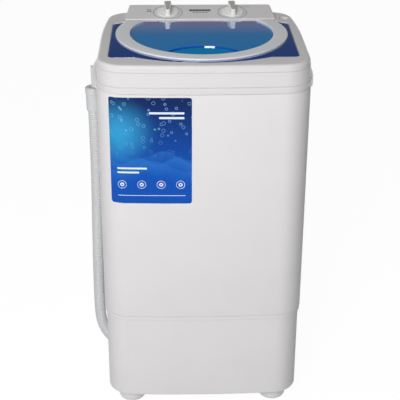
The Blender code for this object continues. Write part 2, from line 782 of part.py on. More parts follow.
# Switches under the panel, their shafts through it, and the knobs on top
KNOB_X = 0.0715
KNOB_SETBACK = 0.0325
KNOB_Y = PANEL_FRONT + KNOB_SETBACK
DISC_RADIUS = 0.0245
DISC_HEIGHT = 0.0028
DISC_ROUNDING = 0.001
KNOB_SIDES = 28
GRIP_LENGTH = 0.044
GRIP_REAR_WIDTH = 0.0155
GRIP_FRONT_WIDTH = 0.0095
GRIP_SPREAD = 0.0025
GRIP_HEIGHT = 0.0145
GRIP_ROUNDING = 0.0015
SHAFT_RADIUS = 0.003
SHAFT_RISE = 0.011
SHAFT_DROP = 0.014
SWITCH_WIDTH = 0.046
SWITCH_DEPTH = 0.038
SWITCH_HEIGHT = 0.022
SWITCH_MARGIN = 0.005
TIMER_REST_TURN = math.radians(4)


def on_panel(x, y):
    """A place on the panel's face, with Z square to it."""
    return Matrix.Translation((x, y, panel_top(y))) @ Matrix.Rotation(panel_slope, 4, "X")


def grip_ring(length, spread, rounding, height):
    """One height of the grip: a bar with cut corners, narrower at its front end."""
    half = length / 2
    ring = []
    for side, end in ((1, 1), (-1, 1), (-1, -1), (1, -1)):
        width = (GRIP_REAR_WIDTH if end > 0 else GRIP_FRONT_WIDTH) / 2 + spread
        cut = [(side * width, end * (half - rounding)), (side * (width - rounding), end * half)]
        ring += cut if side == end else cut[::-1]
    return at(ring, height)


switch_low = -PANEL_WALL - FIT
well_x = KNOB_X + SWITCH_WIDTH / 2 + SWITCH_MARGIN
well_y = SWITCH_DEPTH / 2 + SWITCH_MARGIN
shaped(
    top_cover,
    "DIFFERENCE",
    box((-well_x, KNOB_Y - well_y, deck_under - OVERRUN), (well_x, KNOB_Y + well_y, DECK_Z + OVERRUN)),
)
for name, x, rest_turn in (("mode", -KNOB_X, 0.0), ("timer", KNOB_X, TIMER_REST_TURN)):
    place = on_panel(x, KNOB_Y)
    hole = [(SHAFT_RADIUS + LOOSE, -2 * PANEL_WALL), (SHAFT_RADIUS + LOOSE, OVERRUN)]
    shaped(panel, "DIFFERENCE", turned(hole, SMALL_SIDES), place)
    switch = piece(
        f"{name}_switch",
        box(
            (-SWITCH_WIDTH / 2, -SWITCH_DEPTH / 2, switch_low - SWITCH_HEIGHT),
            (SWITCH_WIDTH / 2, SWITCH_DEPTH / 2, switch_low),
        ),
        (0.75, 0.74, 0.70),
        0.5,
        0.0,
        place,
    )
    bore = [(SHAFT_RADIUS + FIT, -SHAFT_DROP - GAP), (SHAFT_RADIUS + FIT, switch_low + OVERRUN)]
    shaped(switch, "DIFFERENCE", turned(bore, SMALL_SIDES), place)
    shaft = turned([(SHAFT_RADIUS, -SHAFT_DROP), (SHAFT_RADIUS, SHAFT_RISE)], SMALL_SIDES)
    piece(f"{name}_shaft", shaft, STEEL, 0.3, 1.0, place)
    knob = piece(
        f"{name}_knob",
        turned(
            [
                (DISC_RADIUS, GAP),
                (DISC_RADIUS, DISC_HEIGHT - DISC_ROUNDING),
                (DISC_RADIUS - DISC_ROUNDING, DISC_HEIGHT),
            ],
            KNOB_SIDES,
        ),
        (0.82, 0.82, 0.81),
        0.25,
        0.0,
        place,
    )
    shoulder = DISC_HEIGHT + GRIP_HEIGHT - GRIP_ROUNDING
    grip = [
        grip_ring(GRIP_LENGTH, GRIP_SPREAD / 2, GRIP_ROUNDING, DISC_HEIGHT / 2),
        grip_ring(GRIP_LENGTH, 0.0, GRIP_ROUNDING, shoulder),
        grip_ring(
            GRIP_LENGTH - GRIP_ROUNDING, -GRIP_ROUNDING / 2, GRIP_ROUNDING / 2, shoulder + GRIP_ROUNDING
        ),
    ]
    shaped(knob, "UNION", lofted(grip), place @ Matrix.Rotation(rest_turn, 4, "Z"))
    socket = [(SHAFT_RADIUS + GAP, -OVERRUN), (SHAFT_RADIUS + GAP, SHAFT_RISE + GAP)]
    shaped(knob, "DIFFERENCE", turned(socket, SMALL_SIDES), place)

# Wash tub: hung by its flange on the cabinet's neck, with a thick pad in the middle of its floor
FLANGE_Z = NECK_TOP + GAP
FLANGE_THICKNESS = 0.003
TUB_WALL = 0.003
PAD_RADIUS = 0.072
PAD_DEPTH = 0.009
SEAL_HOLE = 0.0125
flange_top = FLANGE_Z + FLANGE_THICKNESS
pad_under = TUB_FLOOR_Z - PAD_DEPTH
TUB_MID_DROP = 0.038
TUB_MID_Z = FLANGE_Z - TUB_MID_DROP
TUB_HEEL_Z = 0.035
TUB_HEEL_SHARE = 0.95
FLOOR_SHARE = 0.86
CURVE_SHARE = 0.91
CURVE_RISE = 0.013
plan = cabinet_plan(NECK_INSET)
heel = TUB_RADIUS * TUB_HEEL_SHARE


def tub_ring(radius, z):
    """A ring of the tub, matched to its flange's outline."""
    return round_like(plan, radius, z)


tub = piece(
    "wash_tub",
    lofted(
        [
            at(plan, flange_top),
            tub_ring(TUB_RADIUS, flange_top),
            tub_ring(TUB_RADIUS, TUB_MID_Z),
            tub_ring(heel, TUB_FLOOR_Z + TUB_HEEL_Z),
            tub_ring(TUB_RADIUS * CURVE_SHARE, TUB_FLOOR_Z + CURVE_RISE),
            tub_ring(TUB_RADIUS * FLOOR_SHARE, TUB_FLOOR_Z),
            tub_ring(SEAL_HOLE / 2, TUB_FLOOR_Z),
            tub_ring(SEAL_HOLE / 2, pad_under),
            tub_ring(PAD_RADIUS, pad_under),
            tub_ring(PAD_RADIUS + TUB_WALL, TUB_FLOOR_Z - TUB_WALL),
            tub_ring(TUB_RADIUS * FLOOR_SHARE + TUB_WALL / 2, TUB_FLOOR_Z - TUB_WALL),
            tub_ring(TUB_RADIUS * CURVE_SHARE + TUB_WALL, TUB_FLOOR_Z + CURVE_RISE - TUB_WALL / 2),
            tub_ring(heel + TUB_WALL, TUB_FLOOR_Z + TUB_HEEL_Z),
            tub_ring(TUB_RADIUS + TUB_WALL, TUB_MID_Z),
            tub_ring(TUB_RADIUS + TUB_WALL, FLANGE_Z),
            at(plan, FLANGE_Z),
        ],
        hollow=True,
    ),
    (0.70, 0.74, 0.78),
    0.3,
)

shaped(tub, "DIFFERENCE", turned([(SEAL_HOLE, pad_under - OVERRUN), (SEAL_HOLE, TUB_FLOOR_Z + OVERRUN)]))

# Hose route: from the drain pipe's spigot, through the base's left wall, up the side to the cuff
HOSE_Y = -0.037
SPIGOT_Z = 0.058
HOSE_START_X = -0.108
HOSE_ROUTE = [
    (-0.1080, -0.037, 0.0580),
    (-0.1330, -0.037, 0.0580),
    (-0.1570, -0.037, 0.0616),
    (-0.1822, -0.037, 0.0720),
    (-0.2039, -0.037, 0.0886),
    (-0.2205, -0.036, 0.1103),
    (-0.2309, -0.034, 0.1355),
    (-0.2348, -0.030, 0.1640),
    (-0.2358, -0.026, 0.1990),
    (-0.2360, -0.021, 0.2480),
    (-0.2356, -0.015, 0.3060),
    (-0.2347, -0.008, 0.3700),
    (-0.2338, -0.002, 0.4330),
    (-0.2331, 0.003, 0.4920),
    (-0.2331, 0.008, 0.5510),
    (-0.2333, 0.011, 0.5960),
    (-0.2336, 0.012, 0.6206),
    (-0.2336, 0.012, 0.6456),
]
HOSE_BORE = 0.0095
RIB_COUNT = 100
RIB_DEPTH_SHARE = 0.86
BORE_POINTS = 26
SPAN_STEPS = 24
hose_end = HOSE_ROUTE[-1]

# Drain strainer in the tub's floor, and the pipe from there down to the hose
DRAIN_X = -0.088
DRAIN_Y = HOSE_Y
DRAIN_HOLE = 0.0125
STRAINER_RIM = 0.016
STRAINER_RIM_HEIGHT = 0.0015
STRAINER_HOLE = 0.0022
STRAINER_HOLE_RING = 0.007
STRAINER_HOLES = 6
drain_hole = [(DRAIN_HOLE, pad_under - OVERRUN), (DRAIN_HOLE, TUB_FLOOR_Z + 3 * OVERRUN)]
shaped(tub, "DIFFERENCE", turned(drain_hole, ROUND_SIDES, centre=(DRAIN_X, DRAIN_Y)))
rim_low = TUB_FLOOR_Z + GAP
strainer = piece(
    "drain_strainer",
    turned(
        [
            (DRAIN_HOLE - GAP, TUB_FLOOR_Z - TUB_WALL + GAP),
            (DRAIN_HOLE - GAP, rim_low),
            (STRAINER_RIM, rim_low),
            (STRAINER_RIM, rim_low + STRAINER_RIM_HEIGHT),
        ],
        ROUND_SIDES,
    ),
    (0.70, 0.74, 0.78),
    0.35,
    0.0,
    Matrix.Translation((DRAIN_X, DRAIN_Y, 0)),
)
for i in range(STRAINER_HOLES):
    turn = math.tau * i / STRAINER_HOLES
    spot = (DRAIN_X + STRAINER_HOLE_RING * math.cos(turn), DRAIN_Y + STRAINER_HOLE_RING * math.sin(turn))
    hole = [(STRAINER_HOLE, TUB_FLOOR_Z - 2 * OVERRUN), (STRAINER_HOLE, TUB_FLOOR_Z + 2 * OVERRUN)]
    shaped(strainer, "DIFFERENCE", turned(hole, HEX_SIDES, centre=spot))

DRAIN_FLANGE = 0.0185
DRAIN_FLANGE_HEIGHT = 0.003
PIPE_RADIUS = 0.0115
PIPE_WALL = 0.0018
ELBOW_RADIUS = 0.017
ELBOW_STEPS = 4
SPIGOT_REACH = 0.018
SPIGOT_MARGIN = 0.0012
pipe_top = TUB_FLOOR_Z - TUB_WALL - GAP
spigot_radius = HOSE_BORE - SPIGOT_MARGIN
points = [
    (DRAIN_X, DRAIN_Y, pipe_top),
    (DRAIN_X, DRAIN_Y, pipe_top - DRAIN_FLANGE_HEIGHT),
    (DRAIN_X, DRAIN_Y, pipe_top - DRAIN_FLANGE_HEIGHT - GAP),
]
radii = [DRAIN_FLANGE, DRAIN_FLANGE, PIPE_RADIUS]
for i in range(ELBOW_STEPS + 1):
    turn = math.pi / 2 * i / ELBOW_STEPS
    shift = ELBOW_RADIUS * (1 - math.cos(turn))
    points.append((DRAIN_X - shift, DRAIN_Y, SPIGOT_Z + ELBOW_RADIUS * (1 - math.sin(turn))))
    radii.append(PIPE_RADIUS)
shoulder_x = HOSE_START_X + GAP
points += [
    (shoulder_x, DRAIN_Y, SPIGOT_Z),
    (shoulder_x - GAP / 2, DRAIN_Y, SPIGOT_Z),
    (shoulder_x - SPIGOT_REACH, DRAIN_Y, SPIGOT_Z),
]
radii += [PIPE_RADIUS, spigot_radius, spigot_radius]
piece(
    "drain_pipe",
    pipe(points, radii, [spigot_radius - PIPE_WALL] * len(points)),
    (0.62, 0.62, 0.60),
    0.45,
)

# Drain hose: ribbed, one unbroken tube with its bore


def smooth_route(route, count):
    """Evenly spaced points on a smooth curve through a route's own points."""
    points = [Vector(p) for p in route]
    ends = [points[0] * 2 - points[1]] + points + [points[-1] * 2 - points[-2]]
    fine = []
    for a, b, c, d in zip(ends, ends[1:], ends[2:], ends[3:]):
        for i in range(SPAN_STEPS):
            t = i / SPAN_STEPS
            square = (2 * a - 5 * b + 4 * c - d) * t**2
            cube = (3 * b - a - 3 * c + d) * t**3
            fine.append((2 * b + (c - a) * t + square + cube) / 2)
    fine.append(points[-1])
    lengths = [0.0]
    for a, b in zip(fine, fine[1:]):
        lengths.append(lengths[-1] + (b - a).length)
    spaced = []
    j = 0
    for i in range(count):
        want = lengths[-1] * i / (count - 1)
        while j < len(fine) - 2 and lengths[j + 1] < want:
            j += 1
        spaced.append(fine[j].lerp(fine[j + 1], (want - lengths[j]) / (lengths[j + 1] - lengths[j])))
    return spaced, lengths[-1]


def tube(name, points, radii, depth):
    """A curve with filled caps along points, made a mesh."""
    curve = bpy.data.curves.new(name, "CURVE")
    curve.dimensions = "3D"
    curve.bevel_depth = depth
    curve.bevel_resolution = 2
    curve.use_fill_caps = True
    spline = curve.splines.new("POLY")
    spline.points.add(len(points) - 1)
    for knot, point, radius in zip(spline.points, points, radii):
        knot.co = (*point, 1.0)
        knot.radius = radius / depth
    guide = bpy.data.objects.new(name + "_guide", curve)
    bpy.context.scene.collection.objects.link(guide)
    mesh = bpy.data.meshes.new_from_object(guide)
    bpy.data.objects.remove(guide)
    shape = bmesh.new()
    shape.from_mesh(mesh)
    bmesh.ops.remove_doubles(shape, verts=shape.verts, dist=GAP / 10)
    bmesh.ops.recalc_face_normals(shape, faces=shape.faces)
    return shape


crest = HOSE_DIAMETER / 2
route, hose_length = smooth_route(HOSE_ROUTE, 2 * RIB_COUNT)
print(f"drain hose: {hose_length:.4f} m long, {RIB_COUNT} ribs, pitch {hose_length / RIB_COUNT:.5f} m")
radii = [crest if i % 2 else crest * RIB_DEPTH_SHARE for i in range(len(route))]
hose = piece("drain_hose", tube("drain_hose", route, radii, crest), (0.72, 0.73, 0.74), 0.5)
bore_route = smooth_route(HOSE_ROUTE, BORE_POINTS)[0]
bore_route[0] -= (bore_route[1] - bore_route[0]).normalized() * OVERRUN
bore_route[-1] += (bore_route[-1] - bore_route[-2]).normalized() * OVERRUN
shaped(hose, "DIFFERENCE", tube("hose_bore", bore_route, [HOSE_BORE] * BORE_POINTS, HOSE_BORE))

HOSE_ROOM = 0.007
HOSE_HOLE_WIDTH = HOSE_DIAMETER + HOSE_ROOM
HOSE_HOLE_LOW = 0.072
HOSE_HOLE_HIGH = 0.126
HOLE_STEPS = 6
half_hole = HOSE_HOLE_WIDTH / 2
hole_ring = []
for low_turn, z in ((math.pi, HOSE_HOLE_LOW + half_hole), (0.0, HOSE_HOLE_HIGH - half_hole)):
    for i in range(HOLE_STEPS + 1):
        turn = low_turn + math.pi * i / HOLE_STEPS
        hole_ring.append((HOSE_Y + half_hole * math.cos(turn), z + half_hole * math.sin(turn)))
wall_x = HALF_WIDTH + CABINET_PROUD - BASE_INSET
shaped(
    base,
    "DIFFERENCE",
    lofted([[(-x, y, z) for y, z in hole_ring] for x in (wall_x + OVERRUN, wall_x - WALL - OVERRUN)]),
)

CLIP_WALL = 0.0012
CLIP_WIDTH = 0.008
CLIP_EDGE = 0.004
clip_inner = crest + GAP
clip_outer = clip_inner + CLIP_WALL
piece(
    "hose_clip",
    turned(
        [(clip_inner, 0), (clip_outer, 0), (clip_outer, CLIP_WIDTH), (clip_inner, CLIP_WIDTH)],
        ROUND_SIDES,
        hollow=True,
    ),
    ZINC,
    0.3,
    1.0,
    Matrix.Translation((HOSE_START_X - CLIP_EDGE, HOSE_Y, SPIGOT_Z)) @ Matrix.Rotation(-math.pi / 2, 4, "Y"),
)

# Hose cuff: the smooth outlet on the hose's end
CUFF_RADIUS = 0.0155
CUFF_LENGTH = 0.053
CUFF_ROUNDING = 0.002
cuff_low = hose_end[2] + GAP
cuff_high = cuff_low + CUFF_LENGTH
cuff_place = Matrix.Translation((hose_end[0], hose_end[1], 0))
piece(
    "hose_cuff",
    turned(
        [
            (HOSE_BORE, cuff_low),
            (CUFF_RADIUS - CUFF_ROUNDING, cuff_low),
            (CUFF_RADIUS, cuff_low + CUFF_ROUNDING),
            (CUFF_RADIUS, cuff_high - CUFF_ROUNDING),
            (CUFF_RADIUS - CUFF_ROUNDING, cuff_high),
            (HOSE_BORE + CUFF_ROUNDING, cuff_high),
            (HOSE_BORE, cuff_high - CUFF_ROUNDING),
        ],
        ROUND_SIDES,
        hollow=True,
    ),
    (0.76, 0.77, 0.78),
    0.4,
    0.0,
    cuff_place,
)

# Carrying lips on both sides: hoods under the top cover, with room for the fingers behind them
LIP_REACH = 0.0175
LIP_HALF_LENGTH = 0.108
LIP_DROP_FROM_COVER = 0.001
LIP_HEIGHT_MID = 0.032
LIP_WALL = 0.003
LIP_END_SHARE = 0.955
LIP_END_HEIGHT_SHARE = 0.5
LIP_SECTIONS = 10
LIP_TOP = COVER_BOTTOM - LIP_DROP_FROM_COVER
# Each point: its share of the reach, and its share of the way down from the top
LIP_SHARES = ((0.0, 0.0), (0.5, 0.10), (0.9, 0.34), (1.0, 0.52), (1.0, 1.0))


def lip_root(y):
    """How far the cabinet's side and the lip's joint stand from the middle at a depth."""
    return half_width_at(y) + CABINET_PROUD + GAP


def lip_reach(y):
    """How far the lip stands out from the side at a depth."""
    return LIP_REACH * (1 - (y / LIP_HALF_LENGTH) ** 2) + LIP_WALL / 2


def lip(side):
    """One hood, furthest out and deepest at mid-depth, as sections across it."""
    sections = []
    for i in range(LIP_SECTIONS + 1):
        y = LIP_HALF_LENGTH * LIP_END_SHARE * (2 * i / LIP_SECTIONS - 1)
        reach = lip_reach(y)
        drop = LIP_HEIGHT_MID * (1 - (1 - LIP_END_HEIGHT_SHARE) * (y / LIP_HALF_LENGTH) ** 2)
        outer = [(lip_root(y) + reach * a, LIP_TOP - drop * b) for a, b in LIP_SHARES]
        room = max(reach - LIP_WALL, GAP)
        fall = drop - LIP_WALL
        inner = [(lip_root(y) + room * a, LIP_TOP - LIP_WALL - fall * b) for a, b in LIP_SHARES]
        sections.append([(side * x, y, z) for x, z in outer + inner[::-1]])
    return lofted(sections)


for name, side in (("left_handle", -1), ("right_handle", 1)):
    handle = piece(name, lip(side), COVER_WHITE, 0.25)
    if side < 0:
        left_handle = handle

# Hose hook: a band round the cuff, and a strap to a bent head outside the left lip. Its nose goes
# in through a slot there.
BAND_WALL = 0.0012
BAND_LOW = 0.6845
BAND_WIDTH = 0.012
STRAP_WIDTH = 0.006
STRAP_THICKNESS = 0.002
NOSE_DROP = 0.019
NOSE_HEIGHT = 0.004
NOSE_MARGIN = 0.001
HEAD_FORWARD = 0.0080
HEAD_LENGTH = 0.021
HEAD_CORNER = 0.002
HEAD_LOW = 0.7160
# Each point: how far inwards from the lip's outermost line, how far up from the head's lower edge,
# and how far inwards it moves at the two rounded ends
HEAD_POINTS = (
    (0.0, 0.0, 0.0),
    (0.0, 0.0225, 0.0),
    (-0.0016, 0.0225, 0.0010),
    (-0.0036, 0.0195, 0.0016),
    (-0.0036, 0.0030, 0.0016),
    (-0.0016, 0.0, 0.0010),
)
NOSE_TOP = LIP_TOP - NOSE_DROP
band_inner = CUFF_RADIUS + GAP
band_outer = band_inner + BAND_WALL
hook = piece(
    "hose_hook",
    turned(
        [
            (band_inner, BAND_LOW),
            (band_outer, BAND_LOW),
            (band_outer, BAND_LOW + BAND_WIDTH),
            (band_inner, BAND_LOW + BAND_WIDTH),
        ],
        ROUND_SIDES,
        hollow=True,
    ),
    (0.45, 0.46, 0.47),
    0.45,
    0.0,
    cuff_place,
)
strap_y = hose_end[1] + band_inner + GAP
strap_x = -(lip_root(strap_y) + lip_reach(strap_y) + FIT)
nose_x = strap_x + FIT + LIP_WALL + LOOSE
shaped(
    hook,
    "UNION",
    box(
        (strap_x - STRAP_THICKNESS, strap_y, BAND_LOW + GAP),
        (strap_x, strap_y + STRAP_WIDTH, NOSE_TOP + GAP),
    ),
)
head_front = strap_y - HEAD_FORWARD
head_x = -(lip_root(head_front) + lip_reach(head_front) + FIT)
head_sections = []
for y, share in ((0.0, 1), (HEAD_CORNER, 0), (HEAD_LENGTH - HEAD_CORNER, 0), (HEAD_LENGTH, 1)):
    head_sections.append([(head_x + a + c * share, head_front + y, HEAD_LOW + b) for a, b, c in HEAD_POINTS])
shaped(hook, "UNION", lofted(head_sections))
shaped(
    hook,
    "UNION",
    box(
        (strap_x - STRAP_THICKNESS / 2, strap_y + NOSE_MARGIN, NOSE_TOP - NOSE_HEIGHT),
        (nose_x, strap_y + STRAP_WIDTH - NOSE_MARGIN, NOSE_TOP),
    ),
)
shaped(
    left_handle,
    "DIFFERENCE",
    box(
        (strap_x - OVERRUN, strap_y + NOSE_MARGIN - FIT, NOSE_TOP - NOSE_HEIGHT - GAP),
        (nose_x + OVERRUN, strap_y + STRAP_WIDTH - NOSE_MARGIN + FIT, NOSE_TOP + FIT),
    ),
)

# Wash shaft with its seal and bushes, in the bearing housing under the tub
WASH_SHAFT_RADIUS = 0.008
SHAFT_ABOVE_FLOOR = 0.025
SHAFT_TOP = TUB_FLOOR_Z + SHAFT_ABOVE_FLOOR
THREAD_RADIUS = 0.006
PLATE_THICKNESS = 0.003
HOUSING_RADIUS = 0.022
HOUSING_LENGTH = 0.102
HOUSING_BOTTOM = TUB_FLOOR_Z - HOUSING_LENGTH
HOUSING_FLANGE = 0.036
HOUSING_FLANGE_HEIGHT = 0.004
BUSH_LENGTH = 0.018
BUSH_INSET = 0.002
SEAL_RISE = 0.003
PULLEY_DROP = 0.124
PULLEY_BOTTOM = TUB_FLOOR_Z - PULLEY_DROP
PULLEY_HEIGHT = 0.016
NUT_HEIGHT = 0.007
NUT_RADIUS = 0.011
THREAD_OVER = 0.002
plate_top = pad_under - GAP
plate_under = plate_top - PLATE_THICKNESS
flange_face = plate_under - GAP
thread_bottom = PULLEY_BOTTOM - GAP - NUT_HEIGHT - THREAD_OVER
PULSATOR_SCREW_RADIUS = 0.0025
PULSATOR_SCREW_DEPTH = 0.012
wash_shaft = piece(
    "wash_shaft",
    turned(
        [
            (THREAD_RADIUS, thread_bottom),
            (THREAD_RADIUS, PULLEY_BOTTOM - GAP),
            (WASH_SHAFT_RADIUS, PULLEY_BOTTOM - GAP),
            (WASH_SHAFT_RADIUS, SHAFT_TOP),
        ],
        ROUND_SIDES,
    ),
    STEEL,
    0.25,
    1.0,
)
shaped(
    wash_shaft,
    "DIFFERENCE",
    turned(
        [
            (PULSATOR_SCREW_RADIUS + GAP, SHAFT_TOP - PULSATOR_SCREW_DEPTH),
            (PULSATOR_SCREW_RADIUS + GAP, SHAFT_TOP + OVERRUN),
        ],
        SMALL_SIDES,
    ),
)
piece(
    "bearing_housing",
    turned(
        [
            (SEAL_HOLE, HOUSING_BOTTOM),
            (HOUSING_RADIUS, HOUSING_BOTTOM),
            (HOUSING_RADIUS, flange_face - HOUSING_FLANGE_HEIGHT),
            (HOUSING_FLANGE, flange_face - HOUSING_FLANGE_HEIGHT),
            (HOUSING_FLANGE, flange_face),
            (HOUSING_RADIUS, flange_face),
            (HOUSING_RADIUS, plate_top - GAP),
            (SEAL_HOLE, plate_top - GAP),
        ],
        ROUND_SIDES,
        hollow=True,
    ),
    (0.50, 0.51, 0.52),
    0.45,
    0.9,
)
collar_inner = WASH_SHAFT_RADIUS + GAP
collar_outer = SEAL_HOLE - GAP
lower_bush = HOUSING_BOTTOM + BUSH_INSET
upper_bush = plate_top - BUSH_INSET - BUSH_LENGTH
for name, low, high, colour in (
    ("lower_bush", lower_bush, lower_bush + BUSH_LENGTH, BRONZE),
    ("upper_bush", upper_bush, upper_bush + BUSH_LENGTH, BRONZE),
    ("shaft_seal", pad_under + BUSH_INSET, TUB_FLOOR_Z + SEAL_RISE, BLACK),
):
    collar = [(collar_inner, low), (collar_outer, low), (collar_outer, high), (collar_inner, high)]
    piece(name, turned(collar, ROUND_SIDES, hollow=True), colour, 0.4)

# Large pulley and nut on the shaft's lower end
LARGE_GROOVE = 0.065
FLANGE_RISE = 0.005
HUB_RADIUS = 0.016
WEB_THICKNESS = 0.004
RIM_THICKNESS = 0.006
GROOVE_SLOPE = 0.002
GROOVE_EDGE = 0.002
pulley_top = PULLEY_BOTTOM + PULLEY_HEIGHT
web_low = PULLEY_BOTTOM + (PULLEY_HEIGHT - WEB_THICKNESS) / 2
web_high = web_low + WEB_THICKNESS


def groove(radius):
    """The outside of a pulley's rim, from its lower edge to its upper edge."""
    return [
        (radius + FLANGE_RISE, PULLEY_BOTTOM),
        (radius + FLANGE_RISE, PULLEY_BOTTOM + GROOVE_EDGE),
        (radius, PULLEY_BOTTOM + GROOVE_EDGE + GROOVE_SLOPE),
        (radius, pulley_top - GROOVE_EDGE - GROOVE_SLOPE),
        (radius + FLANGE_RISE, pulley_top - GROOVE_EDGE),
        (radius + FLANGE_RISE, pulley_top),
    ]


rim_inner = LARGE_GROOVE - RIM_THICKNESS
piece(
    "large_pulley",
    turned(
        [
            (WASH_SHAFT_RADIUS + GAP, PULLEY_BOTTOM),
            (HUB_RADIUS, PULLEY_BOTTOM),
            (HUB_RADIUS, web_low),
            (rim_inner, web_low),
            (rim_inner, PULLEY_BOTTOM),
        ]
        + groove(LARGE_GROOVE)
        + [
            (rim_inner, pulley_top),
            (rim_inner, web_high),
            (HUB_RADIUS, web_high),
            (HUB_RADIUS, pulley_top),
            (WASH_SHAFT_RADIUS + GAP, pulley_top),
        ],
        hollow=True,
    ),
    (0.30, 0.31, 0.32),
    0.5,
)
nut_high = PULLEY_BOTTOM - GAP
nut_low = nut_high - NUT_HEIGHT
nut_shape = turned([(NUT_RADIUS, nut_low), (NUT_RADIUS, nut_high)], HEX_SIDES)
nut = piece("pulley_nut", nut_shape, ZINC, 0.35, 0.9)
shaped(
    nut,
    "DIFFERENCE",
    turned([(THREAD_RADIUS + GAP, nut_low - OVERRUN), (THREAD_RADIUS + GAP, nut_high + OVERRUN)]),
)

# Pulsator: a finned disc on the shaft, held by a screw from above
PULSATOR_RADIUS = 0.086
PULSATOR_LIFT = 0.0065
PULSATOR_THICKNESS = 0.004
PULSATOR_HUB = 0.018
PULSATOR_HUB_RISE = 0.028
FIN_RISE = 0.010
FIN_ROOT = 0.001
FIN_END_SHARE = 0.88
FIN_MIDDLE_SHARE = 0.55
HUB_FLARE = 0.006
HUB_ROUNDING = 0.003
FIN_COUNT = 4
PULSATOR_SIDES = 24
HEAD_RADIUS = 0.008
HEAD_HEIGHT = 0.003
pulsator_low = TUB_FLOOR_Z + PULSATOR_LIFT
hub_top = pulsator_low + PULSATOR_HUB_RISE
hub_bore = WASH_SHAFT_RADIUS + GAP
screw_bore = PULSATOR_SCREW_RADIUS + GAP


def pulsator_ring(radius, z, fin=0.0):
    """A ring of the disc, raised into fins."""
    ring = []
    for i in range(PULSATOR_SIDES):
        turn = math.tau * i / PULSATOR_SIDES
        lift = fin * max(0.0, math.cos(FIN_COUNT * turn)) ** 2
        ring.append((radius * math.cos(turn), radius * math.sin(turn), z + lift))
    return ring


top = pulsator_low + PULSATOR_THICKNESS
piece(
    "pulsator",
    lofted(
        [
            pulsator_ring(hub_bore, pulsator_low),
            pulsator_ring(PULSATOR_RADIUS, pulsator_low),
            pulsator_ring(PULSATOR_RADIUS, top),
            pulsator_ring(PULSATOR_RADIUS * FIN_END_SHARE, top + FIN_ROOT, FIN_RISE),
            pulsator_ring(PULSATOR_RADIUS * FIN_MIDDLE_SHARE, top + 2 * FIN_ROOT, FIN_RISE + FIN_ROOT),
            pulsator_ring(PULSATOR_HUB + HUB_FLARE, top + FIN_RISE, FIN_RISE / 2),
            pulsator_ring(PULSATOR_HUB, hub_top - HUB_ROUNDING),
            pulsator_ring(PULSATOR_HUB - HUB_ROUNDING, hub_top),
            pulsator_ring(screw_bore, hub_top),
            pulsator_ring(screw_bore, SHAFT_TOP + GAP),
            pulsator_ring(hub_bore, SHAFT_TOP + GAP),
        ],
        hollow=True,
    ),
    (0.72, 0.76, 0.80),
    0.3,
)
screw_low = SHAFT_TOP - PULSATOR_SCREW_DEPTH + GAP
piece(
    "pulsator_screw",
    turned(
        [
            (PULSATOR_SCREW_RADIUS, screw_low),
            (PULSATOR_SCREW_RADIUS, hub_top + GAP),
            (HEAD_RADIUS, hub_top + GAP),
            (HEAD_RADIUS, hub_top + HEAD_HEIGHT / 2),
            (HEAD_RADIUS - HEAD_HEIGHT / 2, hub_top + HEAD_HEIGHT),
        ],
        SMALL_SIDES,
    ),
    STEEL,
    0.3,
    1.0,
)

# Motor plate under the tub's pad, with its screws
MOTOR_X = 0.105
MOTOR_Y = 0.030
PLATE_LEFT = -0.058
PLATE_RIGHT = 0.160
PLATE_FRONT = -0.062
PLATE_REAR = 0.090
PLATE_SCREW_RING = 0.056
PLATE_SCREW_RADIUS = 0.002
PLATE_SCREW_HEAD = 0.0045
PLATE_SCREW_BITE = 0.005
PLATE_HEAD_HEIGHT = 0.003
PLATE_CORNER = 0.012
PLATE_CORNER_STEPS = 3
plate_outline = []
for x, y, start in (
    (PLATE_RIGHT - PLATE_CORNER, PLATE_FRONT + PLATE_CORNER, -math.pi / 2),
    (PLATE_RIGHT - PLATE_CORNER, PLATE_REAR - PLATE_CORNER, 0.0),
    (PLATE_LEFT + PLATE_CORNER, PLATE_REAR - PLATE_CORNER, math.pi / 2),
    (PLATE_LEFT + PLATE_CORNER, PLATE_FRONT + PLATE_CORNER, math.pi),
):
    for i in range(PLATE_CORNER_STEPS + 1):
        turn = start + math.pi / 2 * i / PLATE_CORNER_STEPS
        plate_outline.append((x + PLATE_CORNER * math.cos(turn), y + PLATE_CORNER * math.sin(turn)))
plate = piece("motor_plate", prism(plate_outline, plate_under, plate_top), ZINC, 0.45, 0.9)
housing_hole = [(HOUSING_RADIUS + GAP, plate_under - OVERRUN), (HOUSING_RADIUS + GAP, plate_top + OVERRUN)]
shaped(plate, "DIFFERENCE", turned(housing_hole))
PLATE_SCREWS = 3
for i in range(PLATE_SCREWS):
    turn = math.tau * i / PLATE_SCREWS + math.pi / 2
    spot = (PLATE_SCREW_RING * math.cos(turn), PLATE_SCREW_RING * math.sin(turn))
    bite = pad_under + PLATE_SCREW_BITE
    for item, low, high in ((plate, plate_under, plate_top + OVERRUN), (tub, pad_under, bite + GAP)):
        hole = [(PLATE_SCREW_RADIUS + GAP, low - OVERRUN), (PLATE_SCREW_RADIUS + GAP, high)]
        shaped(item, "DIFFERENCE", turned(hole, SMALL_SIDES, centre=spot))
    piece(
        f"plate_screw_{i + 1}",
        turned(
            [
                (PLATE_SCREW_HEAD, plate_under - GAP - PLATE_HEAD_HEIGHT),
                (PLATE_SCREW_HEAD, plate_under - GAP),
                (PLATE_SCREW_RADIUS, plate_under - GAP),
                (PLATE_SCREW_RADIUS, bite),
            ],
            SMALL_SIDES,
        ),
        ZINC,
        0.35,
        0.9,
        Matrix.Translation((*spot, 0)),
    )

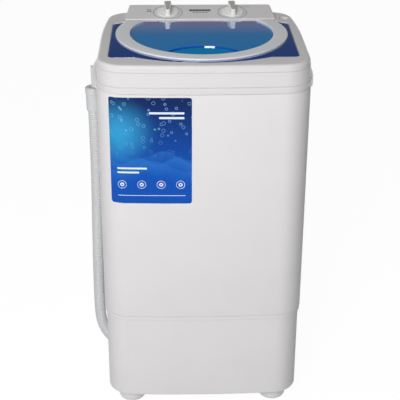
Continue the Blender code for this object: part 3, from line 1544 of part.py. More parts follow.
# Motor: housing, stator and rotor, hung under the plate on three rubber mounts
MOTOR_RADIUS = 0.049
MOTOR_HEIGHT = 0.074
MOUNT_HEIGHT = 0.009
MOUNT_RADIUS = 0.007
MOUNT_RING = 0.034
MOUNTS = 3
MOTOR_WALL = 0.002
MOTOR_SHAFT_RADIUS = 0.005
MOTOR_BOSS = 0.011
BOSS_HEIGHT = 0.010
SHOULDER = 0.006
STATOR_BORE = 0.029
STATOR_HEIGHT = 0.034
ROTOR_AIR = 0.001
motor_top = plate_under - GAP - MOUNT_HEIGHT - GAP
motor_bottom = motor_top - MOTOR_HEIGHT
motor_place = Matrix.Translation((MOTOR_X, MOTOR_Y, 0))
shaft_hole = MOTOR_SHAFT_RADIUS + FIT
case_inner = MOTOR_RADIUS - MOTOR_WALL
piece(
    "motor_housing",
    turned(
        [
            (shaft_hole, motor_bottom),
            (MOTOR_RADIUS - SHOULDER, motor_bottom),
            (MOTOR_RADIUS, motor_bottom + SHOULDER),
            (MOTOR_RADIUS, motor_top - SHOULDER),
            (MOTOR_RADIUS - SHOULDER, motor_top),
            (shaft_hole, motor_top),
            (shaft_hole, motor_top - BOSS_HEIGHT),
            (MOTOR_BOSS, motor_top - BOSS_HEIGHT),
            (MOTOR_BOSS, motor_top - SHOULDER),
            (case_inner, motor_top - SHOULDER),
            (case_inner, motor_bottom + SHOULDER),
            (MOTOR_BOSS, motor_bottom + SHOULDER),
            (MOTOR_BOSS, motor_bottom + BOSS_HEIGHT),
            (shaft_hole, motor_bottom + BOSS_HEIGHT),
        ],
        ROUND_SIDES,
        hollow=True,
    ),
    (0.42, 0.43, 0.44),
    0.5,
    0.8,
    motor_place,
)
stator_low = (motor_top + motor_bottom - STATOR_HEIGHT) / 2
stator_high = stator_low + STATOR_HEIGHT
stator_outer = case_inner - GAP
piece(
    "motor_stator",
    turned(
        [
            (STATOR_BORE, stator_low),
            (stator_outer, stator_low),
            (stator_outer, stator_high),
            (STATOR_BORE, stator_high),
        ],
        ROUND_SIDES,
        hollow=True,
    ),
    (0.45, 0.27, 0.14),
    0.5,
    0.6,
    motor_place,
)
rotor_radius = STATOR_BORE - ROTOR_AIR
piece(
    "motor_rotor",
    turned(
        [
            (MOTOR_SHAFT_RADIUS, PULLEY_BOTTOM - THREAD_OVER),
            (MOTOR_SHAFT_RADIUS, stator_low),
            (rotor_radius, stator_low),
            (rotor_radius, stator_high),
            (MOTOR_SHAFT_RADIUS, stator_high),
            (MOTOR_SHAFT_RADIUS, motor_top - GAP),
        ],
        ROUND_SIDES,
    ),
    STEEL,
    0.4,
    1.0,
    motor_place,
)
SMALL_GROOVE = 0.016
piece(
    "motor_pulley",
    turned(
        [(MOTOR_SHAFT_RADIUS + GAP, PULLEY_BOTTOM)]
        + groove(SMALL_GROOVE)
        + [(MOTOR_SHAFT_RADIUS + GAP, pulley_top)],
        ROUND_SIDES,
        hollow=True,
    ),
    (0.30, 0.31, 0.32),
    0.5,
    0.0,
    motor_place,
)
for i in range(MOUNTS):
    turn = math.tau * i / MOUNTS
    spot = (MOTOR_X + MOUNT_RING * math.cos(turn), MOTOR_Y + MOUNT_RING * math.sin(turn))
    mount = turned([(MOUNT_RADIUS, motor_top + GAP), (MOUNT_RADIUS, plate_under - GAP)], SMALL_SIDES)
    piece(f"motor_mount_{i + 1}", mount, BLACK, 0.7, 0.0, Matrix.Translation((*spot, 0)))

# Start capacitor, its stud in the motor plate
CAPACITOR_X = 0.020
CAPACITOR_Y = 0.068
CAPACITOR_RADIUS = 0.016
CAPACITOR_HEIGHT = 0.060
STUD_RADIUS = 0.003
stud_hole = [(STUD_RADIUS + GAP, plate_under - OVERRUN), (STUD_RADIUS + GAP, plate_top + OVERRUN)]
shaped(plate, "DIFFERENCE", turned(stud_hole, SMALL_SIDES, centre=(CAPACITOR_X, CAPACITOR_Y)))
piece(
    "capacitor",
    turned(
        [
            (CAPACITOR_RADIUS, plate_under - GAP - CAPACITOR_HEIGHT),
            (CAPACITOR_RADIUS, plate_under - GAP),
            (STUD_RADIUS, plate_under - GAP),
            (STUD_RADIUS, plate_top - GAP),
        ],
        ROUND_SIDES,
    ),
    (0.75, 0.75, 0.74),
    0.4,
    0.0,
    Matrix.Translation((CAPACITOR_X, CAPACITOR_Y, 0)),
)

# Drive belt round both pulleys, just clear of the grooves
BELT_THICKNESS = 0.004
BELT_MARGIN = 0.0005
LARGE_ARC_STEPS = 16
SMALL_ARC_STEPS = 8
spread = math.hypot(MOTOR_X, MOTOR_Y)
heading = math.atan2(MOTOR_Y, MOTOR_X)
lean = math.acos((LARGE_GROOVE - SMALL_GROOVE) / spread)
belt_low = PULLEY_BOTTOM + GROOVE_EDGE + GROOVE_SLOPE + BELT_MARGIN
belt_high = pulley_top - GROOVE_EDGE - GROOVE_SLOPE - BELT_MARGIN


def belt_loop(out):
    """The belt's path at a distance outside the grooves, as (x, y) points."""
    loop = []
    for centre, radius, start, sweep, steps in (
        ((0.0, 0.0), LARGE_GROOVE, heading + lean, math.tau - 2 * lean, LARGE_ARC_STEPS),
        ((MOTOR_X, MOTOR_Y), SMALL_GROOVE, heading - lean, 2 * lean, SMALL_ARC_STEPS),
    ):
        reach = (radius + GAP) / math.cos(sweep / steps / 2) + out
        for i in range(steps + 1):
            turn = start + sweep * i / steps
            loop.append((centre[0] + reach * math.cos(turn), centre[1] + reach * math.sin(turn)))
    return loop


inner_loop, outer_loop = belt_loop(0.0), belt_loop(BELT_THICKNESS)
piece(
    "drive_belt",
    lofted(
        [
            at(inner_loop, belt_low),
            at(outer_loop, belt_low),
            at(outer_loop, belt_high),
            at(inner_loop, belt_high),
        ],
        hollow=True,
    ),
    BLACK,
    0.7,
)

# Water inlet: the round hole in the deck and the spout that leads into the tub
INLET_SIDE = 0.030
INLET_REAR = 0.055
INLET_X = HALF_WIDTH - INLET_SIDE
INLET_Y = REAR_LINE - INLET_REAR
INLET_RADIUS = 0.011
SPOUT_CUP = 0.0125
SPOUT_RADIUS = 0.008
SPOUT_WALL = 0.0015
SPOUT_TOP = deck_under - GAP
SPOUT_LOW = flange_top + GAP + SPOUT_RADIUS
SPOUT_END_SHARE = 0.95
# Heights of the cup's foot and of the neck below it, as shares of the way down to the tub
CUP_SHARE = 0.35
NECK_SHARE = 0.62
NEAR_SHARE = 0.93
drop = SPOUT_TOP - SPOUT_LOW
inlet_reach = math.hypot(INLET_X, INLET_Y)


def towards_tub(radius, z):
    """A point on the line from the inlet to the tub's middle, at a distance from it."""
    return (INLET_X * radius / inlet_reach, INLET_Y * radius / inlet_reach, z)


spout_points = [
    towards_tub(inlet_reach, SPOUT_TOP),
    towards_tub(inlet_reach, SPOUT_TOP - drop * CUP_SHARE),
    towards_tub(inlet_reach, SPOUT_TOP - drop * NECK_SHARE),
    towards_tub(inlet_reach * NEAR_SHARE, SPOUT_LOW + drop * (1 - NEAR_SHARE)),
    towards_tub(TUB_RADIUS * SPOUT_END_SHARE, SPOUT_LOW),
]
spout_radii = [SPOUT_CUP, SPOUT_CUP, SPOUT_RADIUS, SPOUT_RADIUS, SPOUT_RADIUS]
piece(
    "inlet_spout",
    pipe(spout_points, spout_radii, [r - SPOUT_WALL for r in spout_radii]),
    COVER_WHITE,
    0.35,
)
inlet_hole = [(INLET_RADIUS, deck_under - OVERRUN), (INLET_RADIUS, DECK_Z + OVERRUN)]
shaped(top_cover, "DIFFERENCE", turned(inlet_hole, centre=(INLET_X, INLET_Y)))
shaped(
    top_cover,
    "DIFFERENCE",
    rod(
        towards_tub(inlet_reach * NEAR_SHARE, SPOUT_LOW + drop * (1 - NEAR_SHARE)),
        towards_tub(TUB_RADIUS * SPOUT_END_SHARE - OVERRUN, SPOUT_LOW),
        SPOUT_RADIUS + FIT,
    ),
)

# Wiring loom from the timer switch, through the tub's flange, down to the motor
LOOM_RADIUS = 0.0035
LOOM_SIDE = 0.065
LOOM_REAR = 0.035
LOOM_X = HALF_WIDTH - LOOM_SIDE
LOOM_Y = REAR_LINE - LOOM_REAR
LOOM_BEND = 0.012
LOOM_EXIT_SHARE = 0.78
LOOM_FOOT_SHARE = 0.33
loom_exit = Vector((SWITCH_WIDTH / 2 + GAP, 0, switch_low - SWITCH_HEIGHT * LOOM_EXIT_SHARE))
loom_start = on_panel(KNOB_X, KNOB_Y) @ loom_exit
loom_foot = motor_top - MOTOR_HEIGHT * LOOM_FOOT_SHARE
motor_side = Vector((LOOM_X - MOTOR_X, LOOM_Y - MOTOR_Y, 0)).normalized()
loom_end = Vector((MOTOR_X, MOTOR_Y, loom_foot)) + motor_side * (MOTOR_RADIUS + FIT)
loom_mid = loom_end + motor_side * LOOM_BEND
loom_points = [
    loom_start,
    loom_start + Vector((LOOM_BEND, 0, 0)),
    Vector((LOOM_X - LOOM_BEND, LOOM_Y, loom_start.z)),
    Vector((LOOM_X, LOOM_Y, loom_start.z - LOOM_BEND)),
    Vector((LOOM_X, LOOM_Y, loom_foot + LOOM_BEND)),
    loom_mid,
    loom_end,
]
loom = pipe(loom_points, [LOOM_RADIUS] * len(loom_points), sides=HEX_SIDES)
piece("wiring_loom", loom, BLACK, 0.6)
loom_hole = [(LOOM_RADIUS + LOOSE, FLANGE_Z - OVERRUN), (LOOM_RADIUS + LOOSE, flange_top + OVERRUN)]
shaped(tub, "DIFFERENCE", turned(loom_hole, SMALL_SIDES, centre=(LOOM_X, LOOM_Y)))

# Front label: a thin film on the bowed front, towards the left
LABEL_SIDE = 0.025
LABEL_WIDTH = 0.165
LABEL_DROP = 0.0077
LABEL_HEIGHT = 0.2305
LABEL_LEFT = LABEL_SIDE - HALF_WIDTH
LABEL_RIGHT = LABEL_LEFT + LABEL_WIDTH
LABEL_HIGH = CABINET_TOP - LABEL_DROP
LABEL_LOW = LABEL_HIGH - LABEL_HEIGHT
LABEL_THICKNESS = 0.0006
LABEL_CORNER = 0.005


def on_front(inset, x):
    """The depth of the cabinet's faceted front, moved inwards, at a distance from the middle."""
    front = sorted(point for point in cabinet_plan(inset) if point[1] < FRONT_LINE + CORNER_RADIUS)
    for (x0, y0), (x1, y1) in zip(front, front[1:]):
        if x0 <= x <= x1:
            return y0 + (y1 - y0) * (x - x0) / (x1 - x0)


full_height = (LABEL_LEFT + LABEL_CORNER, LABEL_RIGHT - LABEL_CORNER)
facets = [x for x, y in cabinet_plan(0.0) if y < 0 and full_height[0] < x < full_height[1]]
sections = []
for x in sorted([LABEL_LEFT, *full_height, *facets, LABEL_RIGHT]):
    shrink = LABEL_CORNER if x in (LABEL_LEFT, LABEL_RIGHT) else 0.0
    low, high = LABEL_LOW + shrink, LABEL_HIGH - shrink
    back, face = on_front(-GAP, x), on_front(-GAP - LABEL_THICKNESS, x)
    sections.append([(x, back, low), (x, face, low), (x, face, high), (x, back, high)])
piece("front_label", lofted(sections), (0.02, 0.07, 0.30), 0.3)
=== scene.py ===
"""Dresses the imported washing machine: camera, drain hose, shells, lid, knobs, label and finishes."""
import json
import math

import bmesh
import bpy
from mathutils import Matrix, Vector


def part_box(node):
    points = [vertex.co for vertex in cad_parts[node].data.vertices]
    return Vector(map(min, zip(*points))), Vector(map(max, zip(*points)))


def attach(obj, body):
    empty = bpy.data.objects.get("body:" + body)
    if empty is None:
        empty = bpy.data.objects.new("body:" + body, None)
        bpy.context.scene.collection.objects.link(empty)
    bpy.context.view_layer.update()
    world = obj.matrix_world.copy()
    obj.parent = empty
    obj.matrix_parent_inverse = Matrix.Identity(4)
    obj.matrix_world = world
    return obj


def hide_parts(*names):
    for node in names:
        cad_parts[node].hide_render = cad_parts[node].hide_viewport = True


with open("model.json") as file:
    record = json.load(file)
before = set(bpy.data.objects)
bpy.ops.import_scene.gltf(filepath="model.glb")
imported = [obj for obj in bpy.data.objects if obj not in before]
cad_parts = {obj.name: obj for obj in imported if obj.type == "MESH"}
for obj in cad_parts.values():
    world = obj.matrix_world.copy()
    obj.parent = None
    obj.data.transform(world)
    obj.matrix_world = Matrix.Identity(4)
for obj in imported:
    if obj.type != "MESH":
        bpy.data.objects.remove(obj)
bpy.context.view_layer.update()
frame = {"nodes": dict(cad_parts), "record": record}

# Camera: the photograph was taken from above the machine's front, a little to its left, through a
# long lens. Its place was solved from the corners of the cabinet, the lid and the label.
CAMERA_AT = (-0.0667, -2.1537, 1.481)
CAMERA_YAW = 0.0297
CAMERA_PITCH = 0.4533
CAMERA_ROLL = 0.0043
LENS_MM = 95.73
SENSOR_MM = 36.0

lens = bpy.data.cameras.new("photo_camera")
lens.lens = LENS_MM
lens.sensor_width = SENSOR_MM
camera = bpy.data.objects.new("photo_camera", lens)
bpy.context.scene.collection.objects.link(camera)
camera.matrix_world = (
    Matrix.Translation(CAMERA_AT)
    @ Matrix.Rotation(-CAMERA_YAW, 4, "Z")
    @ Matrix.Rotation(math.pi / 2 - CAMERA_PITCH, 4, "X")
    @ Matrix.Rotation(CAMERA_ROLL, 4, "Z")
)
bpy.context.scene.camera = camera

# Drain hose: a blow-moulded corrugated tube of pale grey polyethylene. It leaves the base through
# the left wall and runs up the side, and its smooth outlet cuff is held there by a hook.
HOSE_ROUTE = [
    (-0.1080, -0.037, 0.0580),
    (-0.1330, -0.037, 0.0580),
    (-0.1570, -0.037, 0.0616),
    (-0.1822, -0.037, 0.0720),
    (-0.2039, -0.037, 0.0886),
    (-0.2205, -0.036, 0.1103),
    (-0.2309, -0.034, 0.1355),
    (-0.2348, -0.030, 0.1640),
    (-0.2358, -0.026, 0.1990),
    (-0.2360, -0.021, 0.2480),
    (-0.2356, -0.015, 0.3060),
    (-0.2347, -0.008, 0.3700),
    (-0.2338, -0.002, 0.4330),
    (-0.2331, 0.003, 0.4920),
    (-0.2331, 0.008, 0.5510),
    (-0.2333, 0.011, 0.5960),
    (-0.2336, 0.012, 0.6206),
    (-0.2336, 0.012, 0.6456),
]
HOSE_DIAMETER = 0.025
HOSE_RIBS = 136
HOSE_SIDES = 32
RIB_POINTS = 8
RIB_ROOT_SHARE = 0.87
RIB_SHARPNESS = 1.6
ROUTE_STEPS = 24
PATH_POINTS = 90
DRIFT_SIZE = 0.09


def add_node(tree, kind, sockets=None, **fields):
    """Adds a node, sets its fields, and fills its inputs with values or other nodes' outputs."""
    item = tree.nodes.new(kind)
    for field, value in fields.items():
        setattr(item, field, value)
    for socket, value in (sockets or {}).items():
        if isinstance(value, bpy.types.NodeSocket):
            tree.links.new(value, item.inputs[socket])
        else:
            item.inputs[socket].default_value = value
    return item


def linear(colour):
    """An sRGB hex colour as linear RGBA."""
    parts = [int(colour[i : i + 2], 16) / 255 for i in (1, 3, 5)]
    return (*[p / 12.92 if p <= 0.04045 else ((p + 0.055) / 1.055) ** 2.4 for p in parts], 1.0)


def worked_surface(name, colour, shade, roughness, ripple, depth, spread=0.04, shine=0.5):
    """A moulded, cast or ground surface: its colour drifts a little, and its gloss is uneven.

    ripple is the width of the waves in its skin, in metres, depth is their height, and shine is
    the level of its reflections.
    """
    finish = bpy.data.materials.new(name)
    finish.use_nodes = True
    tree = finish.node_tree
    place = add_node(tree, "ShaderNodeTexCoord").outputs["Object"]
    drift = add_node(tree, "ShaderNodeTexNoise", {"Vector": place, "Scale": 1 / DRIFT_SIZE})
    tones = {0: drift.outputs["Fac"], 6: linear(shade), 7: linear(colour)}
    tone = add_node(tree, "ShaderNodeMix", tones, data_type="RGBA")
    waves = add_node(tree, "ShaderNodeTexNoise", {"Vector": place, "Scale": 1 / ripple, "Detail": 3.0})
    gloss = {"Value": waves.outputs["Fac"], "To Min": roughness - spread, "To Max": roughness + spread}
    skin = {"Height": waves.outputs["Fac"], "Distance": depth}
    surface = tree.nodes["Principled BSDF"]
    surface.inputs["Specular IOR Level"].default_value = shine
    tree.links.new(tone.outputs[2], surface.inputs["Base Color"])
    tree.links.new(add_node(tree, "ShaderNodeMapRange", gloss).outputs[0], surface.inputs["Roughness"])
    tree.links.new(add_node(tree, "ShaderNodeBump", skin).outputs[0], surface.inputs["Normal"])
    return finish


# Polyethylene gives a soft, slightly waxy gloss over a pale grey that drifts along the hose
hose_polyethylene = worked_surface(
    "blow_moulded_polyethylene", "#D3D4D5", "#C7C8CA", roughness=0.42, ripple=0.004, depth=0.00008
)


def smooth_route(route, count):
    """Evenly spaced points on a smooth curve through a route's own points."""
    points = [Vector(p) for p in route]
    ends = [points[0] * 2 - points[1]] + points + [points[-1] * 2 - points[-2]]
    fine = []
    for a, b, c, d in zip(ends, ends[1:], ends[2:], ends[3:]):
        for i in range(ROUTE_STEPS):
            t = i / ROUTE_STEPS
            square = (2 * a - 5 * b + 4 * c - d) * t**2
            cube = (3 * b - a - 3 * c + d) * t**3
            fine.append((2 * b + (c - a) * t + square + cube) / 2)
    fine.append(points[-1])
    lengths = [0.0]
    for a, b in zip(fine, fine[1:]):
        lengths.append(lengths[-1] + (b - a).length)
    spaced = []
    j = 0
    for i in range(count):
        want = lengths[-1] * i / (count - 1)
        while j < len(fine) - 2 and lengths[j + 1] < want:
            j += 1
        spaced.append(fine[j].lerp(fine[j + 1], (want - lengths[j]) / (lengths[j + 1] - lengths[j])))
    return spaced


def grow(name, tree, values, base):
    """Runs a Geometry Nodes tree on a mesh and keeps the result as a plain mesh."""
    item = bpy.data.objects.new(name, base)
    bpy.context.scene.collection.objects.link(item)
    step = item.modifiers.new("grow", "NODES")
    step.node_group = tree
    for socket in tree.interface.items_tree:
        if socket.name in values:
            step[socket.identifier] = values[socket.name]
    view = bpy.context.evaluated_depsgraph_get()
    item.data = bpy.data.meshes.new_from_object(item.evaluated_get(view), depsgraph=view)
    item.modifiers.clear()
    return item


def new_tree(name, **inputs):
    """A Geometry Nodes tree with its geometry in and out, and named inputs of the given kinds."""
    tree = bpy.data.node_groups.new(name, "GeometryNodeTree")
    tree.interface.new_socket("Geometry", in_out="INPUT", socket_type="NodeSocketGeometry")
    for label, kind in inputs.items():
        tree.interface.new_socket(label, in_out="INPUT", socket_type="NodeSocket" + kind)
    tree.interface.new_socket("Geometry", in_out="OUTPUT", socket_type="NodeSocketGeometry")
    return tree, tree.nodes.new("NodeGroupInput")


def close_tree(tree, geometry, finish):
    """Ends a tree: its instances made real and its material set."""
    real = add_node(tree, "GeometryNodeRealizeInstances", {"Geometry": geometry})
    dressed = add_node(tree, "GeometryNodeSetMaterial", {"Geometry": real.outputs[0], "Material": finish})
    add_node(tree, "NodeGroupOutput", {0: dressed.outputs[0]})


ribs, given = new_tree("hose_ribs", Ribs="Float", Crest="Float", Groove="Float")
line = add_node(ribs, "GeometryNodeMeshToCurve", {"Mesh": given.outputs["Geometry"]})
points_along = {"Curve": line.outputs[0], "Count": HOSE_RIBS * RIB_POINTS + 1}
fine_line = add_node(ribs, "GeometryNodeResampleCurve", points_along, mode="COUNT")
# The radius is the crest's, less a cosine along the hose that is sharpened into grooves
radius = add_node(ribs, "GeometryNodeSplineParameter").outputs["Factor"]
for operation, value in (
    ("MULTIPLY", given.outputs["Ribs"]),
    ("MULTIPLY", math.tau),
    ("COSINE", 0.0),
    ("MULTIPLY", 0.5),
    ("ADD", 0.5),
    ("POWER", RIB_SHARPNESS),
    ("MULTIPLY", given.outputs["Groove"]),
    ("SUBTRACT", 1.0),
    ("MULTIPLY", -1.0),
    ("MULTIPLY", given.outputs["Crest"]),
):
    radius = add_node(ribs, "ShaderNodeMath", {0: radius, 1: value}, operation=operation).outputs[0]
circle = add_node(ribs, "GeometryNodeCurvePrimitiveCircle", {"Resolution": HOSE_SIDES, "Radius": 1.0})
wall = {"Curve": fine_line.outputs[0], "Profile Curve": circle.outputs[0], "Scale": radius, "Fill Caps": True}
close_tree(ribs, add_node(ribs, "GeometryNodeCurveToMesh", wall).outputs[0], hose_polyethylene)

hose_path = smooth_route(HOSE_ROUTE, PATH_POINTS)
hose_line = bpy.data.meshes.new("hose_line")
hose_line.from_pydata(hose_path, [(i, i + 1) for i in range(PATH_POINTS - 1)], [])
hose_sizes = {"Ribs": float(HOSE_RIBS), "Crest": HOSE_DIAMETER / 2, "Groove": 1 - RIB_ROOT_SHARE}
drain_hose = grow("ribbed_drain_hose", ribs, hose_sizes, hose_line)
drain_hose.data.shade_smooth()
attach(drain_hose, "cabinet")
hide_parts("drain_hose")


# Cabinet shell: the tall case, injection-moulded in white polypropylene. It has a bowed front and
# sides that draw in to the rear, a rounded lip over the base and a neck that the cover drops on.
cover_low, cover_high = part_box("top_cover")
shell_low, shell_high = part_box("cabinet_shell")
base_low, base_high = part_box("base_skirt")
WALL = 0.003
GAP = 0.0003
FRONT_BOW = 0.008
SIDE_DRAW = 0.0155
FRONT_CORNER = 0.054
REAR_CORNER = 0.045
CABINET_PROUD = 0.001
CABINET_SETBACK = 0.0045
CABINET_LIP = 0.010
CABINET_LIP_DRAW = 0.0008
LIP_GROOVE = 0.0015
LIP_GROOVE_HEIGHT = 0.0010
HALF_WIDTH = cover_high.x
FRONT_LINE = cover_low.y + FRONT_BOW
REAR_LINE = cover_high.y
COVER_BOTTOM = cover_low.z
DECK_Z = cover_high.z
CABINET_TOP = COVER_BOTTOM - GAP
BASE_TOP = shell_low.z
FRONT_POINTS = 72
CORNER_POINTS = 16
SIDE_POINTS = 14
REAR_SHARES = (1.0, 0.9, 0.0, -0.9)
SHARP_ANGLE = math.radians(32)


def plan_outline(half, front, rear, front_corner, rear_corner, chord=0.0, bulge=0.0, step=0.0):
    """(x, y) points round a rounded rectangle, from its front left corner towards +X.

    The middle of the front may bulge as an arc of that chord, and the rear's middle step back.
    """
    straight = half - front_corner
    arc = (chord * chord / 4 + bulge * bulge) / (2 * bulge) if bulge else 0.0
    points = []
    for i in range(FRONT_POINTS):
        x = straight * (2 * i / FRONT_POINTS - 1)
        rise = math.sqrt(arc * arc - x * x) - (arc - bulge) if bulge and abs(x) < chord / 2 else 0.0
        points.append((x, front - rise))

    def corner(x, y, radius, start):
        for i in range(CORNER_POINTS):
            turn = start + math.pi / 2 * i / CORNER_POINTS
            points.append((x + radius * math.cos(turn), y + radius * math.sin(turn)))

    def side(x, start, end):
        for i in range(SIDE_POINTS):
            points.append((x, start + (end - start) * i / SIDE_POINTS))

    back = half - rear_corner
    corner(straight, front + front_corner, front_corner, -math.pi / 2)
    side(half, front + front_corner, rear - rear_corner)
    corner(back, rear - rear_corner, rear_corner, 0.0)
    for share in REAR_SHARES:
        points.append((back * share, rear + (step if abs(share) < 1 else 0.0)))
    corner(-back, rear - rear_corner, rear_corner, math.pi / 2)
    side(-half, rear - rear_corner, front + front_corner)
    corner(-straight, front + front_corner, front_corner, math.pi)
    return points


def bowed(points, half):
    """Bows the front outwards and draws the sides in towards the rear."""
    moved = []
    for x, y in points:
        if y < 0:
            y -= FRONT_BOW * max(0.0, 1 - (x / half) ** 2) * min(1.0, y / FRONT_LINE) ** 2
        else:
            x *= 1 - SIDE_DRAW / HALF_WIDTH * (y / REAR_LINE) ** 2
        moved.append((x, y))
    return moved


def cabinet_ring(inset, z):
    """The cabinet's outline, moved inwards, at a height."""
    half = HALF_WIDTH + CABINET_PROUD - inset
    front = FRONT_LINE + CABINET_SETBACK + inset
    plan = plan_outline(half, front, REAR_LINE - inset, FRONT_CORNER - inset, REAR_CORNER - inset)
    return [(x, y, z) for x, y in bowed(plan, half)]


def loft(rings, closed=False):
    """A mesh through rings of equal length, capped at its ends or joined end to start."""
    shell = bmesh.new()
    loops = [[shell.verts.new(point) for point in ring] for ring in rings]
    for low, high in zip(loops, loops[1:] + loops[:1] if closed else loops[1:]):
        for i in range(len(low)):
            j = (i + 1) % len(low)
            shell.faces.new((low[i], low[j], high[j], high[i]))
    if not closed:
        shell.faces.new(loops[0])
        shell.faces.new(loops[-1])
    bmesh.ops.recalc_face_normals(shell, faces=shell.faces)
    return shell


def block(low, high):
    """A block between two corners."""
    (x0, y0, z0), (x1, y1, z1) = low, high
    ring = [(x0, y0), (x1, y0), (x1, y1), (x0, y1)]
    return loft([[(x, y, z) for x, y in ring] for z in (z0, z1)])


def turned(profile, sides, closed=False, centre=(0.0, 0.0)):
    """A profile of (radius, z) points turned round a vertical axis through the centre."""
    rings = []
    for radius, z in profile:
        turns = [math.tau * i / sides for i in range(sides)]
        rings.append([(centre[0] + radius * math.cos(a), centre[1] + radius * math.sin(a), z) for a in turns])
    return loft(rings, closed)


def rounded(profile, radius, steps=4):
    """A profile of (across, z) points with each inner corner rounded by up to that radius."""
    smooth = [profile[0]]
    for before, point, after in zip(profile, profile[1:], profile[2:]):
        here = Vector(point)
        back, on = Vector(before) - here, Vector(after) - here
        reach = min(radius, back.length / 2, on.length / 2)
        start, end = here + back.normalized() * reach, here + on.normalized() * reach
        for i in range(steps + 1):
            t = i / steps
            smooth.append(tuple(start * (1 - t) ** 2 + here * 2 * t * (1 - t) + end * t * t))
    smooth.append(profile[-1])
    return smooth


def make_piece(name, shell, finish):
    """A piece from a mesh, shaded smooth but for its sharp edges."""
    mesh = bpy.data.meshes.new(name)
    shell.to_mesh(mesh)
    shell.free()
    mesh.materials.append(finish)
    mesh.shade_smooth()
    mesh.set_sharp_from_angle(angle=SHARP_ANGLE)
    item = bpy.data.objects.new(name, mesh)
    bpy.context.scene.collection.objects.link(item)
    return item


def carve(item, operation, *shells):
    """Cuts shapes out of a piece, or joins them to it, and keeps the result as its mesh."""
    finish = item.data.materials[0]
    tools = [make_piece(item.name + "_tool", shell, finish) for shell in shells]
    for tool in tools:
        step = item.modifiers.new("carve", "BOOLEAN")
        step.operation = operation
        step.object = tool
    view = bpy.context.evaluated_depsgraph_get()
    mesh = bpy.data.meshes.new_from_object(item.evaluated_get(view), depsgraph=view)
    item.modifiers.clear()
    item.data = mesh
    mesh.shade_smooth()
    mesh.set_sharp_from_angle(angle=SHARP_ANGLE)
    for tool in tools:
        bpy.data.objects.remove(tool)


def fit(item, body, slot, *nodes):
    """Puts a finished piece on its body and hides the nodes it stands for; slot is not used."""
    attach(item, body)
    if nodes:
        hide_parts(*nodes)
    return item


# Polypropylene: white with a soft gloss, a very slow ripple where the long walls shrank
cabinet_polypropylene = worked_surface(
    "moulded_polypropylene", "#E4E2E3", "#DFDDDE", roughness=0.38, ripple=0.012, depth=0.00005, shine=0.08
)


def lay_colour(tree, ground, colour, value, start, end, low=0.0, high=1.0, run="LINEAR"):
    """Lays a colour over a ground, at a share that runs from low to high as a value rises."""
    span = {"Value": value, "From Min": start, "From Max": end, "To Min": low, "To Max": high}
    share = add_node(tree, "ShaderNodeMapRange", span, interpolation_type=run).outputs[0]
    blend = {0: share, 6: ground, 7: linear(colour)}
    return add_node(tree, "ShaderNodeMix", blend, data_type="RGBA").outputs[2]


def paint_seam_shade(finish, seams):
    """Paints shade into a plastic's seams as grey bands: each is a height, a reach and a strength."""
    tree = finish.node_tree
    surface = tree.nodes["Principled BSDF"].inputs["Base Color"]
    tone = surface.links[0].from_socket
    place = add_node(tree, "ShaderNodeTexCoord").outputs["Object"]
    height = add_node(tree, "ShaderNodeSeparateXYZ", {0: place}).outputs["Z"]
    for level, reach, strength in seams:
        away = add_node(tree, "ShaderNodeMath", {0: height, 1: level}, operation="SUBTRACT").outputs[0]
        away = add_node(tree, "ShaderNodeMath", {0: away}, operation="ABSOLUTE").outputs[0]
        tone = lay_colour(tree, tone, SEAM_SHADE_GREY, away, reach * SEAM_CORE_SHARE, reach, strength, 0.0)
    tree.links.new(tone, surface)


# Painted shade: grey bands in the seam over the base, in the lip's groove and under the cover
SEAM_SHADE_GREY = "#5C5C5E"
SEAM_CORE_SHARE = 0.6
SEAM_HEIGHT = 0.0016
SEAM_BLUR = 0.0003
SEAM_SHADE = 0.75
GROOVE_REACH = 0.0008
GROOVE_SHADE = 0.35
EDGE_DROP = 0.0006
EDGE_REACH = 0.0009
seams = (
    (BASE_TOP - SEAM_HEIGHT / 2, SEAM_HEIGHT / 2 + SEAM_BLUR, SEAM_SHADE),
    (BASE_TOP + CABINET_LIP - LIP_GROOVE_HEIGHT / 2, GROOVE_REACH, GROOVE_SHADE),
    (CABINET_TOP - EDGE_DROP, EDGE_REACH, GROOVE_SHADE),
)
paint_seam_shade(cabinet_polypropylene, seams)

CABINET_EDGE = 0.0002
NECK_CLEARANCE = 0.0005
NECK_INSET = WALL + NECK_CLEARANCE + CABINET_PROUD
NECK_TOP = shell_high.z
SERVICE_HALF_WIDTH = 0.115
SERVICE_RISE = 0.037
SERVICE_DROP = 0.204
groove_z = BASE_TOP + CABINET_LIP - LIP_GROOVE_HEIGHT
cabinet_profile = rounded(
    [
        (WALL, BASE_TOP),
        (CABINET_LIP_DRAW, BASE_TOP),
        (CABINET_LIP_DRAW, groove_z),
        (LIP_GROOVE, groove_z),
        (LIP_GROOVE, BASE_TOP + CABINET_LIP),
        (0.0, BASE_TOP + CABINET_LIP),
        (0.0, CABINET_TOP),
        (NECK_INSET, CABINET_TOP),
    ],
    CABINET_EDGE,
)
cabinet_profile += [
    (NECK_INSET, NECK_TOP),
    (NECK_INSET + WALL, NECK_TOP),
    (NECK_INSET + WALL, CABINET_TOP - WALL),
    (WALL, CABINET_TOP - 2 * WALL),
]
cabinet_rings = [cabinet_ring(inset, z) for inset, z in cabinet_profile]
cabinet_shell = make_piece("cabinet_case", loft(cabinet_rings, True), cabinet_polypropylene)
service_hole = block(
    (-SERVICE_HALF_WIDTH, REAR_LINE - 2 * WALL, BASE_TOP + SERVICE_RISE),
    (SERVICE_HALF_WIDTH, REAR_LINE + 2 * WALL, COVER_BOTTOM - SERVICE_DROP),
)
carve(cabinet_shell, "DIFFERENCE", service_hole)
fit(cabinet_shell, "cabinet", "cabinet_plastic", "cabinet_shell")

